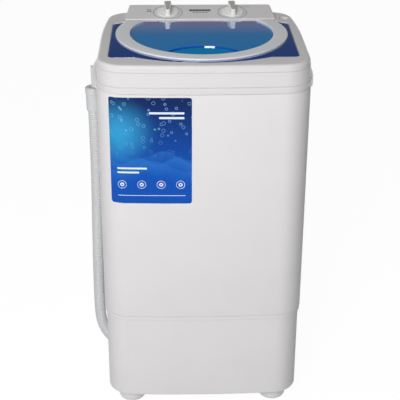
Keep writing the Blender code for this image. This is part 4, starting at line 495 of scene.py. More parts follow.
# Base skirt: the lower part of the case, set in under the cabinet's lip, in the same white plastic.
# A narrow step under that lip makes the seam. The hose leaves through a slot in the left wall.
BASE_CLEARANCE = 0.0008
BASE_INSET = WALL + BASE_CLEARANCE
BASE_EDGE = 0.004
BASE_RIM = 0.02
SEAM_DEPTH = 0.0014
FLOOR_HALF_WIDTH = 0.105
FLOOR_HALF_DEPTH = 0.085
FLOOR_CORNER = 0.030
SLOT_Y = HOSE_ROUTE[0][1]
SLOT_MARGIN = 0.0035
SLOT_HALF_WIDTH = HOSE_DIAMETER / 2 + SLOT_MARGIN
SLOT_LOW = 0.072
SLOT_HIGH = 0.126
SLOT_POINTS = 12
FINE_STEPS = 6
floor_plan = plan_outline(FLOOR_HALF_WIDTH, -FLOOR_HALF_DEPTH, FLOOR_HALF_DEPTH, FLOOR_CORNER, FLOOR_CORNER)
base_foot = [
    (BASE_INSET + BASE_RIM, base_low.z),
    (BASE_INSET, base_low.z),
    (BASE_INSET, BASE_TOP - SEAM_HEIGHT),
]
base_profile = rounded(base_foot, BASE_EDGE, FINE_STEPS) + [
    (BASE_INSET + SEAM_DEPTH, BASE_TOP - SEAM_HEIGHT),
    (BASE_INSET + SEAM_DEPTH, base_high.z),
    (BASE_INSET + WALL, base_high.z),
    (BASE_INSET + WALL, base_low.z + WALL),
]
base_rings = [cabinet_ring(inset, z) for inset, z in base_profile]
base_rings += [[(x, y, z) for x, y in floor_plan] for z in (base_low.z + WALL, base_low.z)]
base_skirt = make_piece("base_case", loft(base_rings, True), cabinet_polypropylene)
slot_ring = []
for start, z in ((math.pi, SLOT_LOW + SLOT_HALF_WIDTH), (0.0, SLOT_HIGH - SLOT_HALF_WIDTH)):
    for i in range(SLOT_POINTS + 1):
        turn = start + math.pi * i / SLOT_POINTS
        slot_ring.append((SLOT_Y + SLOT_HALF_WIDTH * math.cos(turn), z + SLOT_HALF_WIDTH * math.sin(turn)))
slot_depths = (base_low.x - 2 * WALL, base_low.x + 4 * WALL)
carve(base_skirt, "DIFFERENCE", loft([[(x, y, z) for y, z in slot_ring] for x in slot_depths]))
fit(base_skirt, "cabinet", "cabinet_plastic", "base_skirt")

# Feet: four round stand-offs of white polyethylene, each with a peg that is pressed into the base's
# floor. Each tapers to a rounded sole.
FOOT_RADIUS = 0.031
SOLE_RADIUS = 0.028
SOLE_HEIGHT = 0.012
PEG_RADIUS = 0.008
PEG_RISE = 0.008
FOOT_ROUNDING = 0.008
FOOT_SIDES = 64
# Polyethylene again, scuffed matt by standing on the floor
foot_polyethylene = worked_surface(
    "scuffed_polyethylene", "#E6E6E6", "#DCDBDA", roughness=0.45, ripple=0.002, depth=0.00006
)

feet_tree, given = new_tree("feet", Foot="Object")
foot_shape = add_node(feet_tree, "GeometryNodeObjectInfo", {"Object": given.outputs["Foot"]})
spots = {"Points": given.outputs["Geometry"], "Instance": foot_shape.outputs["Geometry"]}
placed_feet = add_node(feet_tree, "GeometryNodeInstanceOnPoints", spots).outputs[0]
close_tree(feet_tree, placed_feet, foot_polyethylene)
foot_nodes = ["front_left_foot", "front_right_foot", "rear_left_foot", "rear_right_foot"]
foot_spots = bpy.data.meshes.new("foot_spots")
foot_centres = [sum(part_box(node), Vector()) / 2 for node in foot_nodes]
foot_spots.from_pydata([(c.x, c.y, 0.0) for c in foot_centres], [], [])
foot_top = base_low.z - GAP
foot_outline = [(GAP, 0.0), (SOLE_RADIUS, 0.0), (FOOT_RADIUS, SOLE_HEIGHT), (FOOT_RADIUS, foot_top)]
foot_profile = rounded(foot_outline, FOOT_ROUNDING, FINE_STEPS)
foot_profile += [(PEG_RADIUS, foot_top), (PEG_RADIUS, foot_top + PEG_RISE)]
foot_mould = make_piece("foot_mould", turned(foot_profile, FOOT_SIDES), foot_polyethylene)
feet = grow("round_feet", feet_tree, {"Foot": foot_mould}, foot_spots)
bpy.data.objects.remove(foot_mould)
fit(feet, "cabinet", "foot_plastic", *foot_nodes)

# Top cover: one glossy ABS moulding over the cabinet's neck. Its skirt has a lower band and an upper
# ridge. The deck has a seat for the lid, a trough behind it, a mouth with a collar into the tub.
UPPER_INSET = 0.0026
BAND_STEP = 0.0015
BAND_HEIGHT = 0.014
RIDGE_DROP = 0.014
DECK_ROUNDING = 0.006
CREASE = 0.0004
LID_HALF_WIDTH = 0.1905
LID_FRONT = -0.1375
LID_REAR = 0.0965
LID_REAR_STEP = 0.0145
LID_CORNER = 0.012
LID_CHORD = 0.270
LID_BULGE = 0.034
LID_THICKNESS = 0.0035
LID_MARGIN = 0.0008
GROOVE = 0.005
SEAT_Z = DECK_Z - LID_THICKNESS - GAP
MOUTH_HALF_WIDTH = 0.163
MOUTH_FRONT = -0.127
MOUTH_REAR = 0.090
MOUTH_CORNER = 0.030
MOUTH_BULGE = 0.032
COLLAR_DEPTH = 0.030
HINGE_Y = 0.1085
HINGE_DROP = 0.0032
HINGE_Z = DECK_Z - HINGE_DROP
TROUGH_DEPTH = 0.0038
TROUGH_LEAD = 0.0016
RELIEF_REACH = 0.005
RELIEF_DEPTH = 0.0043
SKIRT_EDGE = 0.00025
EDGE_STEPS = 10
LEDGE_REACH = 0.0007
LEDGE_SHADE = 0.28
# ABS polished in the mould: a clear gloss over white, with faint flow waves
cover_abs = worked_surface(
    "polished_white_abs", "#DEDCDC", "#D9D7D7", roughness=0.22, ripple=0.012, depth=0.00004, shine=0.2
)
# Painted shade: grey bands just below the two steps in the skirt, along its crease lines
ledges = (COVER_BOTTOM + BAND_HEIGHT - EDGE_DROP, DECK_Z - RIDGE_DROP - EDGE_DROP)
paint_seam_shade(cover_abs, [(level, LEDGE_REACH, LEDGE_SHADE) for level in ledges])


def cover_ring(inset, z):
    """The cover's outline, moved inwards, at a height."""
    half = HALF_WIDTH - inset
    corners = (FRONT_CORNER - inset, REAR_CORNER - inset)
    plan = plan_outline(half, FRONT_LINE + inset, REAR_LINE - inset, *corners)
    return [(x, y, z) for x, y in bowed(plan, half)]


def lid_ring_points(outset, rear_outset, z):
    """The lid's outline, moved outwards, at a height."""
    sizes = (LID_HALF_WIDTH + outset, LID_FRONT - outset, LID_REAR + rear_outset, LID_CORNER, LID_CORNER)
    return [(x, y, z) for x, y in plan_outline(*sizes, LID_CHORD, LID_BULGE, LID_REAR_STEP)]


def mouth_ring(outset, z):
    """The outline of the opening in the cover, moved outwards, at a height."""
    sizes = (MOUTH_HALF_WIDTH + outset, MOUTH_FRONT - outset, MOUTH_REAR + outset)
    corners = (MOUTH_CORNER + outset, MOUTH_CORNER + outset)
    chord = LID_CHORD * MOUTH_HALF_WIDTH / LID_HALF_WIDTH
    return [(x, y, z) for x, y in plan_outline(*sizes, *corners, chord, MOUTH_BULGE)]


skirt_profile = rounded(
    [
        (WALL, COVER_BOTTOM),
        (0.0, COVER_BOTTOM),
        (0.0, COVER_BOTTOM + BAND_HEIGHT),
        (BAND_STEP, COVER_BOTTOM + BAND_HEIGHT + CREASE),
        (BAND_STEP, DECK_Z - RIDGE_DROP),
        (UPPER_INSET, DECK_Z - RIDGE_DROP + CREASE),
        (UPPER_INSET, DECK_Z - DECK_ROUNDING),
    ],
    SKIRT_EDGE,
)
for i in range(1, EDGE_STEPS + 1):
    turn = math.pi / 2 * i / EDGE_STEPS
    rise = DECK_ROUNDING * (1 - math.cos(turn))
    skirt_profile.append((UPPER_INSET + rise, DECK_Z - DECK_ROUNDING * (1 - math.sin(turn))))
collar_z = DECK_Z - COLLAR_DEPTH
cover_rings = [cover_ring(inset, z) for inset, z in skirt_profile]
cover_rings += [lid_ring_points(LID_MARGIN, GROOVE, z) for z in (DECK_Z, SEAT_Z)]
for outset, z in ((0.0, SEAT_Z), (0.0, collar_z), (WALL, collar_z), (WALL, SEAT_Z - WALL)):
    cover_rings.append(mouth_ring(outset, z))
cover_rings += [lid_ring_points(LID_MARGIN + WALL, GROOVE + WALL, z) for z in (SEAT_Z - WALL, DECK_Z - WALL)]
cover_rings += [cover_ring(UPPER_INSET + WALL, z) for z in (DECK_Z - WALL, DECK_Z - RIDGE_DROP - WALL)]
cover_rings.append(cover_ring(WALL, DECK_Z - RIDGE_DROP - 2 * WALL))
top_cover = make_piece("top_cover_moulding", loft(cover_rings, True), cover_abs)

INLET_AT = (0.185, 0.132)
INLET_RADIUS = 0.011
INLET_SIDES = 48
HINGE_X = 0.102
EAR_OUT = 0.0113
NOTCH_MARGIN = 0.0008
WELL_HALF_WIDTH = 0.0995
WELL_Y = (0.127, 0.175)
GROOVE_REAR = LID_REAR + LID_REAR_STEP + GROOVE
trough_half = LID_HALF_WIDTH - LID_REAR_STEP - LID_CORNER
trough_z = SEAT_Z - TROUGH_DEPTH
trough_front = HINGE_Y - TROUGH_LEAD
trough_floor = block(
    (-trough_half - WALL, trough_front - WALL, trough_z - WALL),
    (trough_half + WALL, GROOVE_REAR + WALL - GAP, SEAT_Z - WALL / 2),
)
carve(top_cover, "UNION", trough_floor)
relief = trough_half + RELIEF_REACH
inlet_wall = [(INLET_RADIUS, DECK_Z - 2 * WALL), (INLET_RADIUS, DECK_Z + WALL)]
cuts = [
    block((-trough_half, trough_front, trough_z), (trough_half, GROOVE_REAR - GAP, DECK_Z - WALL / 3)),
    block((-relief, trough_front, SEAT_Z - GAP), (relief, HINGE_Y + RELIEF_DEPTH, DECK_Z + WALL)),
    turned(inlet_wall, INLET_SIDES, False, INLET_AT),
    block((-WELL_HALF_WIDTH, WELL_Y[0], DECK_Z - 2 * WALL), (WELL_HALF_WIDTH, WELL_Y[1], DECK_Z + WALL)),
]
notch = EAR_OUT + NOTCH_MARGIN
for x in (-HINGE_X, HINGE_X):
    low = (x - notch, MOUTH_REAR - WALL, collar_z - WALL)
    cuts.append(block(low, (x + notch, GROOVE_REAR - GAP, DECK_Z + WALL)))
    cuts.append(block(low, (x + notch, GROOVE_REAR + 2 * WALL, DECK_Z - WALL - GAP)))
carve(top_cover, "DIFFERENCE", *cuts)
fit(top_cover, "cabinet", "cover_plastic", "top_cover")

# Lid: a see-through plate of deep blue polystyrene, glossy on both faces, hinged at its rear edge.
# A shallow crescent is sunk in its window at the front for the fingers.
SCOOP_RADIUS = 0.097
SCOOP_Y = -0.162
SCOOP_DEPTH = 0.0022
SCOOP_POINTS = 64
LID_EDGE = 0.0006
LID_EDGE_SHARE = 0.3
LID_FLAT = 0.002
RING_Y = 0.022
RING_OUTER = 0.1815
RING_INNER = 0.1513
KNUCKLE_RADIUS = 0.0032
KNUCKLE_HALF = 0.008
KNUCKLE_LEAD = 0.0053
KNUCKLE_TAIL = 0.0045
PIN_CLEARANCE = 0.0019
ROD_SIDES = 32
# Polystyrene dyed blue mirrors what stands behind it, and is partly clear over the white tub. Painted
# shade makes it navy where its underside lies on the seat, a painted reflection makes it violet to the
# rear, and painted light brightens the scoop's floor, with painted shade along the scoop's edge
WINDOW_BLUE = "#46AAFA"
# Painted reflection: the colour turns violet-grey towards the lid's rear
REAR_REFLECTION_VIOLET = "#ACB2E6"
REAR_LEAD = 0.02
REAR_SHARE = 0.8
# Painted shade in a thin dark line along the scoop's edge, and painted light, a brighter blue, on its floor
SCOOP_RIM_SHADE = "#0A4FC0"
SCOOP_RIM_WIDTH = 0.0010
SCOOP_RIM_BLUR = 0.0012
SCOOP_LIGHT_BLUE = "#10B4FF"
SCOOP_SLOPE = 0.0035
SCOOP_BLUR = 0.0030
# Painted shade: navy where the plate lies on the seat outside the ring's window, deeper past the ring
SEAT_SHADE_BLUE = "#5478C0"
SEAT_BLUR = 0.0010
SEAT_RIM_SHADE = "#4064B4"
SEAT_RIM_WIDTH = 0.0050
SEAT_RIM_BLUR = 0.0060
lid_gloss = {"roughness": 0.03, "ripple": 0.05, "depth": 0.00002, "spread": 0.01}
clear_blue = worked_surface("dyed_clear_polystyrene", WINDOW_BLUE, WINDOW_BLUE, **lid_gloss)
tree = clear_blue.node_tree
surface = tree.nodes["Principled BSDF"].inputs
surface["IOR"].default_value = 1.57
surface["Transmission Weight"].default_value = 0.2
surface["Coat Weight"].default_value = 1.0
surface["Coat IOR"].default_value = 1.9
surface["Coat Roughness"].default_value = 0.02
place = add_node(tree, "ShaderNodeTexCoord").outputs["Object"]
rearward = add_node(tree, "ShaderNodeSeparateXYZ", {0: place}).outputs["Y"]
rear_run = (RING_Y - REAR_LEAD, LID_REAR, 0.0, REAR_SHARE, "SMOOTHSTEP")
tint = lay_colour(tree, linear(WINDOW_BLUE), REAR_REFLECTION_VIOLET, rearward, *rear_run)
for y, radius, colour, inside, blur in (
    (SCOOP_Y, SCOOP_RADIUS + SCOOP_RIM_WIDTH, SCOOP_RIM_SHADE, 1, SCOOP_RIM_BLUR),
    (SCOOP_Y, SCOOP_RADIUS - SCOOP_SLOPE, SCOOP_LIGHT_BLUE, 1, SCOOP_BLUR),
    (RING_Y, RING_INNER, SEAT_SHADE_BLUE, 0, SEAT_BLUR),
    (RING_Y, RING_OUTER + SEAT_RIM_WIDTH, SEAT_RIM_SHADE, 0, SEAT_RIM_BLUR),
):
    spot = add_node(tree, "ShaderNodeCombineXYZ", {"Y": y, "Z": DECK_Z}).outputs[0]
    away = add_node(tree, "ShaderNodeVectorMath", {0: place, 1: spot}, operation="DISTANCE").outputs["Value"]
    tint = lay_colour(tree, tint, colour, away, radius - blur, radius, inside, 1 - inside)
tree.links.new(tint, surface["Base Color"])


def hinge_rod(x, half, radius):
    """A round bar along the hinge's axis, centred on x."""
    rings = []
    for place in (x - half, x + half):
        turns = [math.tau * i / ROD_SIDES for i in range(ROD_SIDES)]
        rings.append([(place, HINGE_Y + radius * math.cos(a), HINGE_Z + radius * math.sin(a)) for a in turns])
    return loft(rings)


plate_bottom = SEAT_Z + GAP
bevel = LID_EDGE * LID_EDGE_SHARE
lid_profile = [
    (LID_FLAT, plate_bottom),
    (LID_EDGE, plate_bottom),
    (bevel, plate_bottom + bevel),
    (0.0, plate_bottom + LID_EDGE),
    (0.0, DECK_Z - LID_EDGE),
    (bevel, DECK_Z - bevel),
    (LID_EDGE, DECK_Z),
    (LID_FLAT, DECK_Z),
]
lid_rings = [lid_ring_points(-inset, -inset, z) for inset, z in lid_profile]
lid = make_piece("clear_blue_lid", loft(lid_rings), clear_blue)
window = RING_INNER - WALL
meet_y = (SCOOP_Y + RING_Y) / 2 + (window**2 - SCOOP_RADIUS**2) / (2 * (SCOOP_Y - RING_Y))
meet_turn = math.asin((meet_y - SCOOP_Y) / SCOOP_RADIUS)
window_turn = math.asin((meet_y - RING_Y) / window)
scoop_plan = []
for i in range(SCOOP_POINTS):
    turn = meet_turn + (math.pi - 2 * meet_turn) * i / SCOOP_POINTS
    scoop_plan.append((SCOOP_RADIUS * math.cos(turn), SCOOP_Y + SCOOP_RADIUS * math.sin(turn)))
for i in range(SCOOP_POINTS):
    turn = -math.pi - window_turn + (math.pi + 2 * window_turn) * i / SCOOP_POINTS
    scoop_plan.append((window * math.cos(turn), RING_Y + window * math.sin(turn)))
slots = [loft([[(x, y, z) for x, y in scoop_plan] for z in (DECK_Z - SCOOP_DEPTH, DECK_Z + WALL)])]
for x in (-HINGE_X, HINGE_X):
    for inner, outer in ((x - notch, x - KNUCKLE_HALF), (x + KNUCKLE_HALF, x + notch)):
        low = (inner, HINGE_Y - KNUCKLE_LEAD, SEAT_Z - WALL)
        slots.append(block(low, (outer, HINGE_Y + KNUCKLE_TAIL, DECK_Z + WALL)))
carve(lid, "DIFFERENCE", *slots)
carve(lid, "UNION", *[hinge_rod(x, KNUCKLE_HALF, KNUCKLE_RADIUS) for x in (-HINGE_X, HINGE_X)])
carve(lid, "DIFFERENCE", *[hinge_rod(x, KNUCKLE_HALF + WALL, PIN_CLEARANCE) for x in (-HINGE_X, HINGE_X)])
fit(lid, "lid", "clear_blue_plastic", "lid")

# Trim ring: a flat white ABS band pressed onto the lid round its window. Its circle runs past the
# lid's rear edge, so it is cut off straight there.
RING_SIDES = 240
RING_HEIGHT = 0.003
RING_EDGE = 0.0015
# ABS again, in a colder, lighter white: painted light, the blue light that the lid next to it casts
ring_abs = worked_surface(
    "cool_white_abs", "#E9EBEE", "#E3E5E8", roughness=0.22, ripple=0.012, depth=0.00004, shine=0.3
)
ring_low = DECK_Z + GAP
ring_outline = [
    (RING_INNER, ring_low),
    (RING_INNER, ring_low + RING_HEIGHT),
    (RING_OUTER, ring_low + RING_HEIGHT),
    (RING_OUTER, ring_low),
]
ring_shell = turned(rounded(ring_outline, RING_EDGE), RING_SIDES, True, (0.0, RING_Y))
trim_ring = make_piece("lid_trim_ring", ring_shell, ring_abs)
ring_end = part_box("lid_ring")[1].y
past_low = (-HALF_WIDTH, ring_end, DECK_Z - WALL)
past_high = (HALF_WIDTH, ring_end + HALF_WIDTH, DECK_Z + 4 * WALL)
carve(trim_ring, "DIFFERENCE", block(past_low, past_high))
fit(trim_ring, "lid", "cover_plastic", "lid_ring")

# Control panel: a shallow white wedge screwed down behind the lid, in the cover's glossy ABS. Its
# face slopes to the front, and its skirt sits over the deck's rear edge.
PANEL_FRONT = 0.1185
PANEL_REAR = 0.190
PANEL_HALF_FRONT = 0.165
PANEL_HALF_REAR = 0.158
PANEL_FRONT_HEIGHT = 0.003
PANEL_REAR_HEIGHT = 0.0155
PANEL_CORNER = 0.005
PANEL_CORNER_POINTS = 8
PANEL_ROUNDING = 0.0016
PANEL_EDGE_STEPS = 6
PANEL_SKIRT = 0.013
PANEL_WALL = 0.0022
panel_slope = math.atan2(PANEL_REAR_HEIGHT - PANEL_FRONT_HEIGHT, PANEL_REAR - PANEL_FRONT)


def panel_top(y):
    """The height of the panel's face at a depth."""
    return DECK_Z + PANEL_FRONT_HEIGHT + (y - PANEL_FRONT) * math.tan(panel_slope)


def panel_ring(inset, drop, floor=None):
    """The panel's outline moved inwards, that far below its face, or level at a floor."""
    corners = [
        (PANEL_HALF_FRONT - inset, PANEL_FRONT + inset, -math.pi / 2, 1, 1),
        (PANEL_HALF_REAR - inset, PANEL_REAR - inset, 0.0, 1, -1),
        (-PANEL_HALF_REAR + inset, PANEL_REAR - inset, math.pi / 2, -1, -1),
        (-PANEL_HALF_FRONT + inset, PANEL_FRONT + inset, math.pi, -1, 1),
    ]
    radius = max(PANEL_CORNER - inset, GAP)
    ring = []
    for x, y, start, side, end in corners:
        for i in range(PANEL_CORNER_POINTS + 1):
            turn = start + math.pi / 2 * i / PANEL_CORNER_POINTS
            place = y + end * radius + radius * math.sin(turn)
            height = panel_top(place) - drop if floor is None else floor
            ring.append((x - side * radius + radius * math.cos(turn), place, height))
    return ring


panel_rings = [panel_ring(2 * PANEL_ROUNDING, 0.0)]
for i in range(PANEL_EDGE_STEPS + 1):
    turn = math.pi / 2 * i / PANEL_EDGE_STEPS
    inset, drop = 1 - math.sin(turn), 1 - math.cos(turn)
    panel_rings.append(panel_ring(PANEL_ROUNDING * inset, PANEL_ROUNDING * drop))
panel_rings += [panel_ring(inset, 0.0, DECK_Z - PANEL_SKIRT) for inset in (0.0, PANEL_WALL)]
panel_rings.append(panel_ring(PANEL_WALL, PANEL_WALL))
control_panel = make_piece("console", loft(panel_rings), cover_abs)
seat_profile = [
    (-GAP, DECK_Z - 2 * PANEL_SKIRT),
    (-GAP, DECK_Z - RIDGE_DROP + CREASE),
    (UPPER_INSET - GAP, DECK_Z - RIDGE_DROP + 2 * CREASE),
]
for i in range(EDGE_STEPS + 1):
    turn = math.pi / 2 * i / EDGE_STEPS
    rise = DECK_ROUNDING * (1 - math.cos(turn))
    seat_profile.append((UPPER_INSET - GAP + rise, DECK_Z + GAP - DECK_ROUNDING * (1 - math.sin(turn))))
carve(control_panel, "DIFFERENCE", loft([cover_ring(inset, z) for inset, z in seat_profile]))
fit(control_panel, "cabinet", "cover_plastic", "control_panel")

# Knobs: a round disc with a bar grip across it, moulded in one piece of white ABS and pushed on a
# steel shaft. The grip narrows to its front end, where a small dark mark is printed.
KNOB_X = 0.0715
KNOB_Y = 0.151
KNOB_SIDES = 96
TIMER_REST_TURN = math.radians(4)
DISC_RADIUS = 0.0245
DISC_HEIGHT = 0.0028
DISC_EDGE = 0.001
DISC_CENTRE = 0.0002
GRIP_LENGTH = 0.044
GRIP_REAR_WIDTH = 0.0155
GRIP_FRONT_WIDTH = 0.0095
GRIP_SPREAD = 0.0025
GRIP_HEIGHT = 0.0145
GRIP_CORNER = 0.003
GRIP_CORNER_POINTS = 5
GRIP_CROWN = 0.004
GRIP_EDGE = 0.0016
SHADE_SHEET_MARGIN = 0.0012
SHADE_SHEET_RISE = 0.0003
DOT_RADIUS = 0.0012
DOT_SETBACK = 0.0045
DOT_SIDES = 24
INK_THICKNESS = 0.00012
# White ABS again, whiter and a little glossier than the console
knob_abs = worked_surface("gloss_knob_abs", "#F1F1EE", "#EBEBE8", roughness=0.20, ripple=0.01, depth=0.00005)
# The grip's top carries a satin grey sheet: painted shade on the grip's top, which also makes the pointer
# stand out
grip_top_shade_grey = worked_surface(
    "satin_grey_inlay", "#BAB8B8", "#AFADAD", roughness=0.45, ripple=0.001, depth=0.00002
)
# Screen-printed ink lies on the plastic as a thin layer that is a little rougher than it
grey_ink = worked_surface(
    "screen_printed_grey", "#5E5E63", "#55555A", roughness=0.40, ripple=0.001, depth=0.00002
)


def on_panel(x, y):
    """A place on the panel's face, with Z square to it."""
    return Matrix.Translation((x, y, panel_top(y))) @ Matrix.Rotation(panel_slope, 4, "X")


def grip_ring(inset, z):
    """One height of the grip: a bar with round corners, narrower at its front end, moved inwards."""
    half = GRIP_LENGTH / 2 - inset
    radius = max(GRIP_CORNER - inset, GAP)
    ring = []
    for side, end, start in ((1, -1, -math.pi / 2), (1, 1, 0.0), (-1, 1, math.pi / 2), (-1, -1, math.pi)):
        width = (GRIP_REAR_WIDTH if end > 0 else GRIP_FRONT_WIDTH) / 2 - inset
        for i in range(GRIP_CORNER_POINTS + 1):
            turn = start + math.pi / 2 * i / GRIP_CORNER_POINTS
            x = side * (width - radius) + radius * math.cos(turn)
            ring.append((x, end * (half - radius) + radius * math.sin(turn), z))
    return ring


disc_outline = [
    (DISC_CENTRE, GAP),
    (DISC_RADIUS, GAP),
    (DISC_RADIUS, DISC_HEIGHT),
    (DISC_CENTRE, DISC_HEIGHT),
]
disc_profile = rounded(disc_outline, DISC_EDGE)
grip_top = DISC_HEIGHT + GRIP_HEIGHT
grip_outline = [(-GRIP_SPREAD / 2, DISC_HEIGHT / 2), (0.0, grip_top), (GRIP_CROWN, grip_top)]
grip_profile = rounded(grip_outline, GRIP_EDGE, FINE_STEPS)
shade_sheet_top = grip_top + SHADE_SHEET_RISE
dot_profile = [(GAP, shade_sheet_top), (DOT_RADIUS, shade_sheet_top), (DOT_RADIUS, shade_sheet_top + INK_THICKNESS)]
for name, body, x, rest_turn in (
    ("mode_dial_knob", "mode_dial", -KNOB_X, 0.0),
    ("timer_dial_knob", "timer_dial", KNOB_X, TIMER_REST_TURN),
):
    place = on_panel(x, KNOB_Y)
    turned_place = place @ Matrix.Rotation(rest_turn, 4, "Z")
    disc = turned(disc_profile, KNOB_SIDES)
    disc.transform(place)
    grip = loft([grip_ring(inset, z) for inset, z in grip_profile])
    grip.transform(turned_place)
    knob = make_piece(name, disc, knob_abs)
    carve(knob, "UNION", grip)
    fit(knob, body, "knob_plastic", body.replace("dial", "knob"))
    # Painted shade: the grey sheet darkens the grip's top
    top_shade_sheet = loft([grip_ring(SHADE_SHEET_MARGIN, z) for z in (grip_top - SHADE_SHEET_RISE, shade_sheet_top)])
    top_shade_sheet.transform(turned_place)
    fit(make_piece(body + "_inlay", top_shade_sheet, grip_top_shade_grey), body, "knob_plastic")
    dot = turned(dot_profile, DOT_SIDES)
    dot.transform(turned_place @ Matrix.Translation((0.0, DOT_SETBACK - GRIP_LENGTH / 2, 0.0)))
    fit(make_piece(body + "_pointer_dot", dot, grey_ink), body, "label_film")

# Dial scales: a ring printed on the panel round each knob, with evenly spaced ticks inside it. The
# mode scale is navy with a few ticks, and the timer's violet with many.
SCALE_RADIUS = 0.032
SCALE_LINE = 0.0009
TICK_INNER = 0.0285
TICK_LENGTH = 0.002
TICK_WIDTH = 0.0005
MODE_TICKS = 12
TIMER_TICKS = 36
# Two more screen-printed inks, as thin and as rough as the grey one
navy_ink = worked_surface(
    "screen_printed_navy", "#2E3A80", "#27326F", roughness=0.40, ripple=0.001, depth=0.00002
)
violet_ink = worked_surface(
    "screen_printed_violet", "#5A5AA6", "#505098", roughness=0.40, ripple=0.001, depth=0.00002
)
tick_sizes = {"Count": "Int", "Radius": "Float", "Length": "Float", "Width": "Float", "Ink": "Material"}
scale_tree, given = new_tree("dial_ticks", **tick_sizes)
given = given.outputs
circle = {"Vertices": given["Count"], "Radius": given["Radius"]}
step_turn = {0: math.tau, 1: given["Count"]}
step_turn = add_node(scale_tree, "ShaderNodeMath", step_turn, operation="DIVIDE").outputs[0]
turn = {0: add_node(scale_tree, "GeometryNodeInputIndex").outputs[0], 1: step_turn}
turn = add_node(scale_tree, "ShaderNodeMath", turn, operation="MULTIPLY").outputs[0]
tick_size = {"X": given["Length"], "Y": given["Width"], "Z": INK_THICKNESS * 2}
tick_size = add_node(scale_tree, "ShaderNodeCombineXYZ", tick_size).outputs[0]
ticks = {
    "Points": add_node(scale_tree, "GeometryNodeMeshCircle", circle).outputs[0],
    "Instance": add_node(scale_tree, "GeometryNodeMeshCube", {"Size": tick_size}).outputs[0],
    "Rotation": add_node(scale_tree, "ShaderNodeCombineXYZ", {"Z": turn}).outputs[0],
}
close_tree(scale_tree, add_node(scale_tree, "GeometryNodeInstanceOnPoints", ticks).outputs[0], given["Ink"])
blank = bpy.data.meshes.new("blank")


def flat_ring(radius, width, sides):
    """A thin printed ring round the origin, half sunk in what it is printed on."""
    edge = ((-1, -1), (1, -1), (1, 1), (-1, 1))
    return turned([(radius + a * width / 2, b * INK_THICKNESS) for a, b in edge], sides, True)


for name, x, count, ink in (
    ("mode_scale", -KNOB_X, MODE_TICKS, navy_ink),
    ("timer_scale", KNOB_X, TIMER_TICKS, violet_ink),
):
    values = {"Count": count, "Radius": TICK_INNER, "Length": TICK_LENGTH, "Width": TICK_WIDTH, "Ink": ink}
    marks = grow(name + "_ticks", scale_tree, values, blank)
    marks.data.transform(on_panel(x, KNOB_Y))
    fit(marks, "cabinet", "label_film")
    ring = flat_ring(SCALE_RADIUS, SCALE_LINE, KNOB_SIDES)
    ring.transform(on_panel(x, KNOB_Y))
    fit(make_piece(name + "_line", ring, ink), "cabinet", "label_film")

# Console strokes: rows of plain strokes, screen-printed in grey on the panel between the knobs and
# beside them. A row has its start, each stroke's length and height, how many there are and their pitch.
STROKE_ROWS = [
    (-0.0235, 0.1560, 0.0062, 0.0085, 7, 0.0068),
    (-0.0165, 0.1478, 0.0040, 0.0024, 7, 0.0050),
    (-0.1185, 0.1540, 0.0032, 0.0030, 3, 0.0040),
    (-0.1165, 0.1600, 0.0024, 0.0060, 2, 0.0046),
    (0.0930, 0.1760, 0.0030, 0.0014, 5, 0.0042),
]


def join(shapes, shape):
    """Adds one more shape to a group of shapes."""
    mesh = bpy.data.meshes.new("joined")
    shape.to_mesh(mesh)
    shape.free()
    shapes.from_mesh(mesh)
    bpy.data.meshes.remove(mesh)


strokes = bmesh.new()
for x, y, length, height, count, pitch in STROKE_ROWS:
    for i in range(count):
        stroke = block((0.0, 0.0, -INK_THICKNESS), (length, height, INK_THICKNESS))
        stroke.transform(on_panel(x + i * pitch, y))
        join(strokes, stroke)
fit(make_piece("console_strokes", strokes, grey_ink), "cabinet", "label_film")

# Outlet cuff: the smooth polyethylene sleeve that the hose ends in, pushed on over its last ribs.
# Its mouth is rounded, because it hangs over a basin's rim when the tub is drained.
CUFF_BORE = 0.0095
CUFF_RADIUS = 0.0155
CUFF_EDGE = 0.002
CUFF_SIDES = 64
cuff_low, cuff_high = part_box("hose_cuff")
cuff_centre = ((cuff_low.x + cuff_high.x) / 2, (cuff_low.y + cuff_high.y) / 2)
cuff_outline = [
    (CUFF_BORE, cuff_low.z),
    (CUFF_RADIUS, cuff_low.z),
    (CUFF_RADIUS, cuff_high.z),
    (CUFF_BORE, cuff_high.z),
]
cuff_shell = turned(rounded(cuff_outline, CUFF_EDGE, FINE_STEPS), CUFF_SIDES, True, cuff_centre)
hose_cuff = make_piece("outlet_cuff", cuff_shell, hose_polyethylene)
fit(hose_cuff, "cabinet", "hose_plastic", "hose_cuff")

# Carrying lips: white ABS hoods under the cover on both sides, furthest out at mid-depth and open
# below, where the fingers go in. The left one has a slot that the hose hook's nose goes through.
LIP_REACH = 0.0175
LIP_HALF_LENGTH = 0.108
LIP_HEIGHT = 0.032
LIP_WALL = 0.003
LIP_ROUNDING = 0.004
LIP_INNER_ROUNDING = 0.002
LIP_END_SHARE = 0.955
LIP_END_HEIGHT_SHARE = 0.5
LIP_SECTIONS = 48
LIP_CLEARANCE = 0.001
LIP_TOP = COVER_BOTTOM - LIP_CLEARANCE
LIP_SHARES = ((0.0, 0.0), (0.5, 0.10), (0.9, 0.34), (1.0, 0.52), (1.0, 1.0))
NOSE_DROP = 0.023
NOSE_HEIGHT = 0.004
NOSE_Z = (LIP_TOP - NOSE_DROP, LIP_TOP - NOSE_DROP + NOSE_HEIGHT)
NOSE_Y = (0.0291, 0.0331)


def lip_root(y):
    """How far the cabinet's side and the lip's joint stand from the middle at a depth."""
    return HALF_WIDTH * (1 - SIDE_DRAW / HALF_WIDTH * (max(0.0, y) / REAR_LINE) ** 2) + CABINET_PROUD + GAP


def lip_reach(y):
    """How far the lip stands out from the side at a depth."""
    return LIP_REACH * (1 - (y / LIP_HALF_LENGTH) ** 2) + LIP_WALL / 2


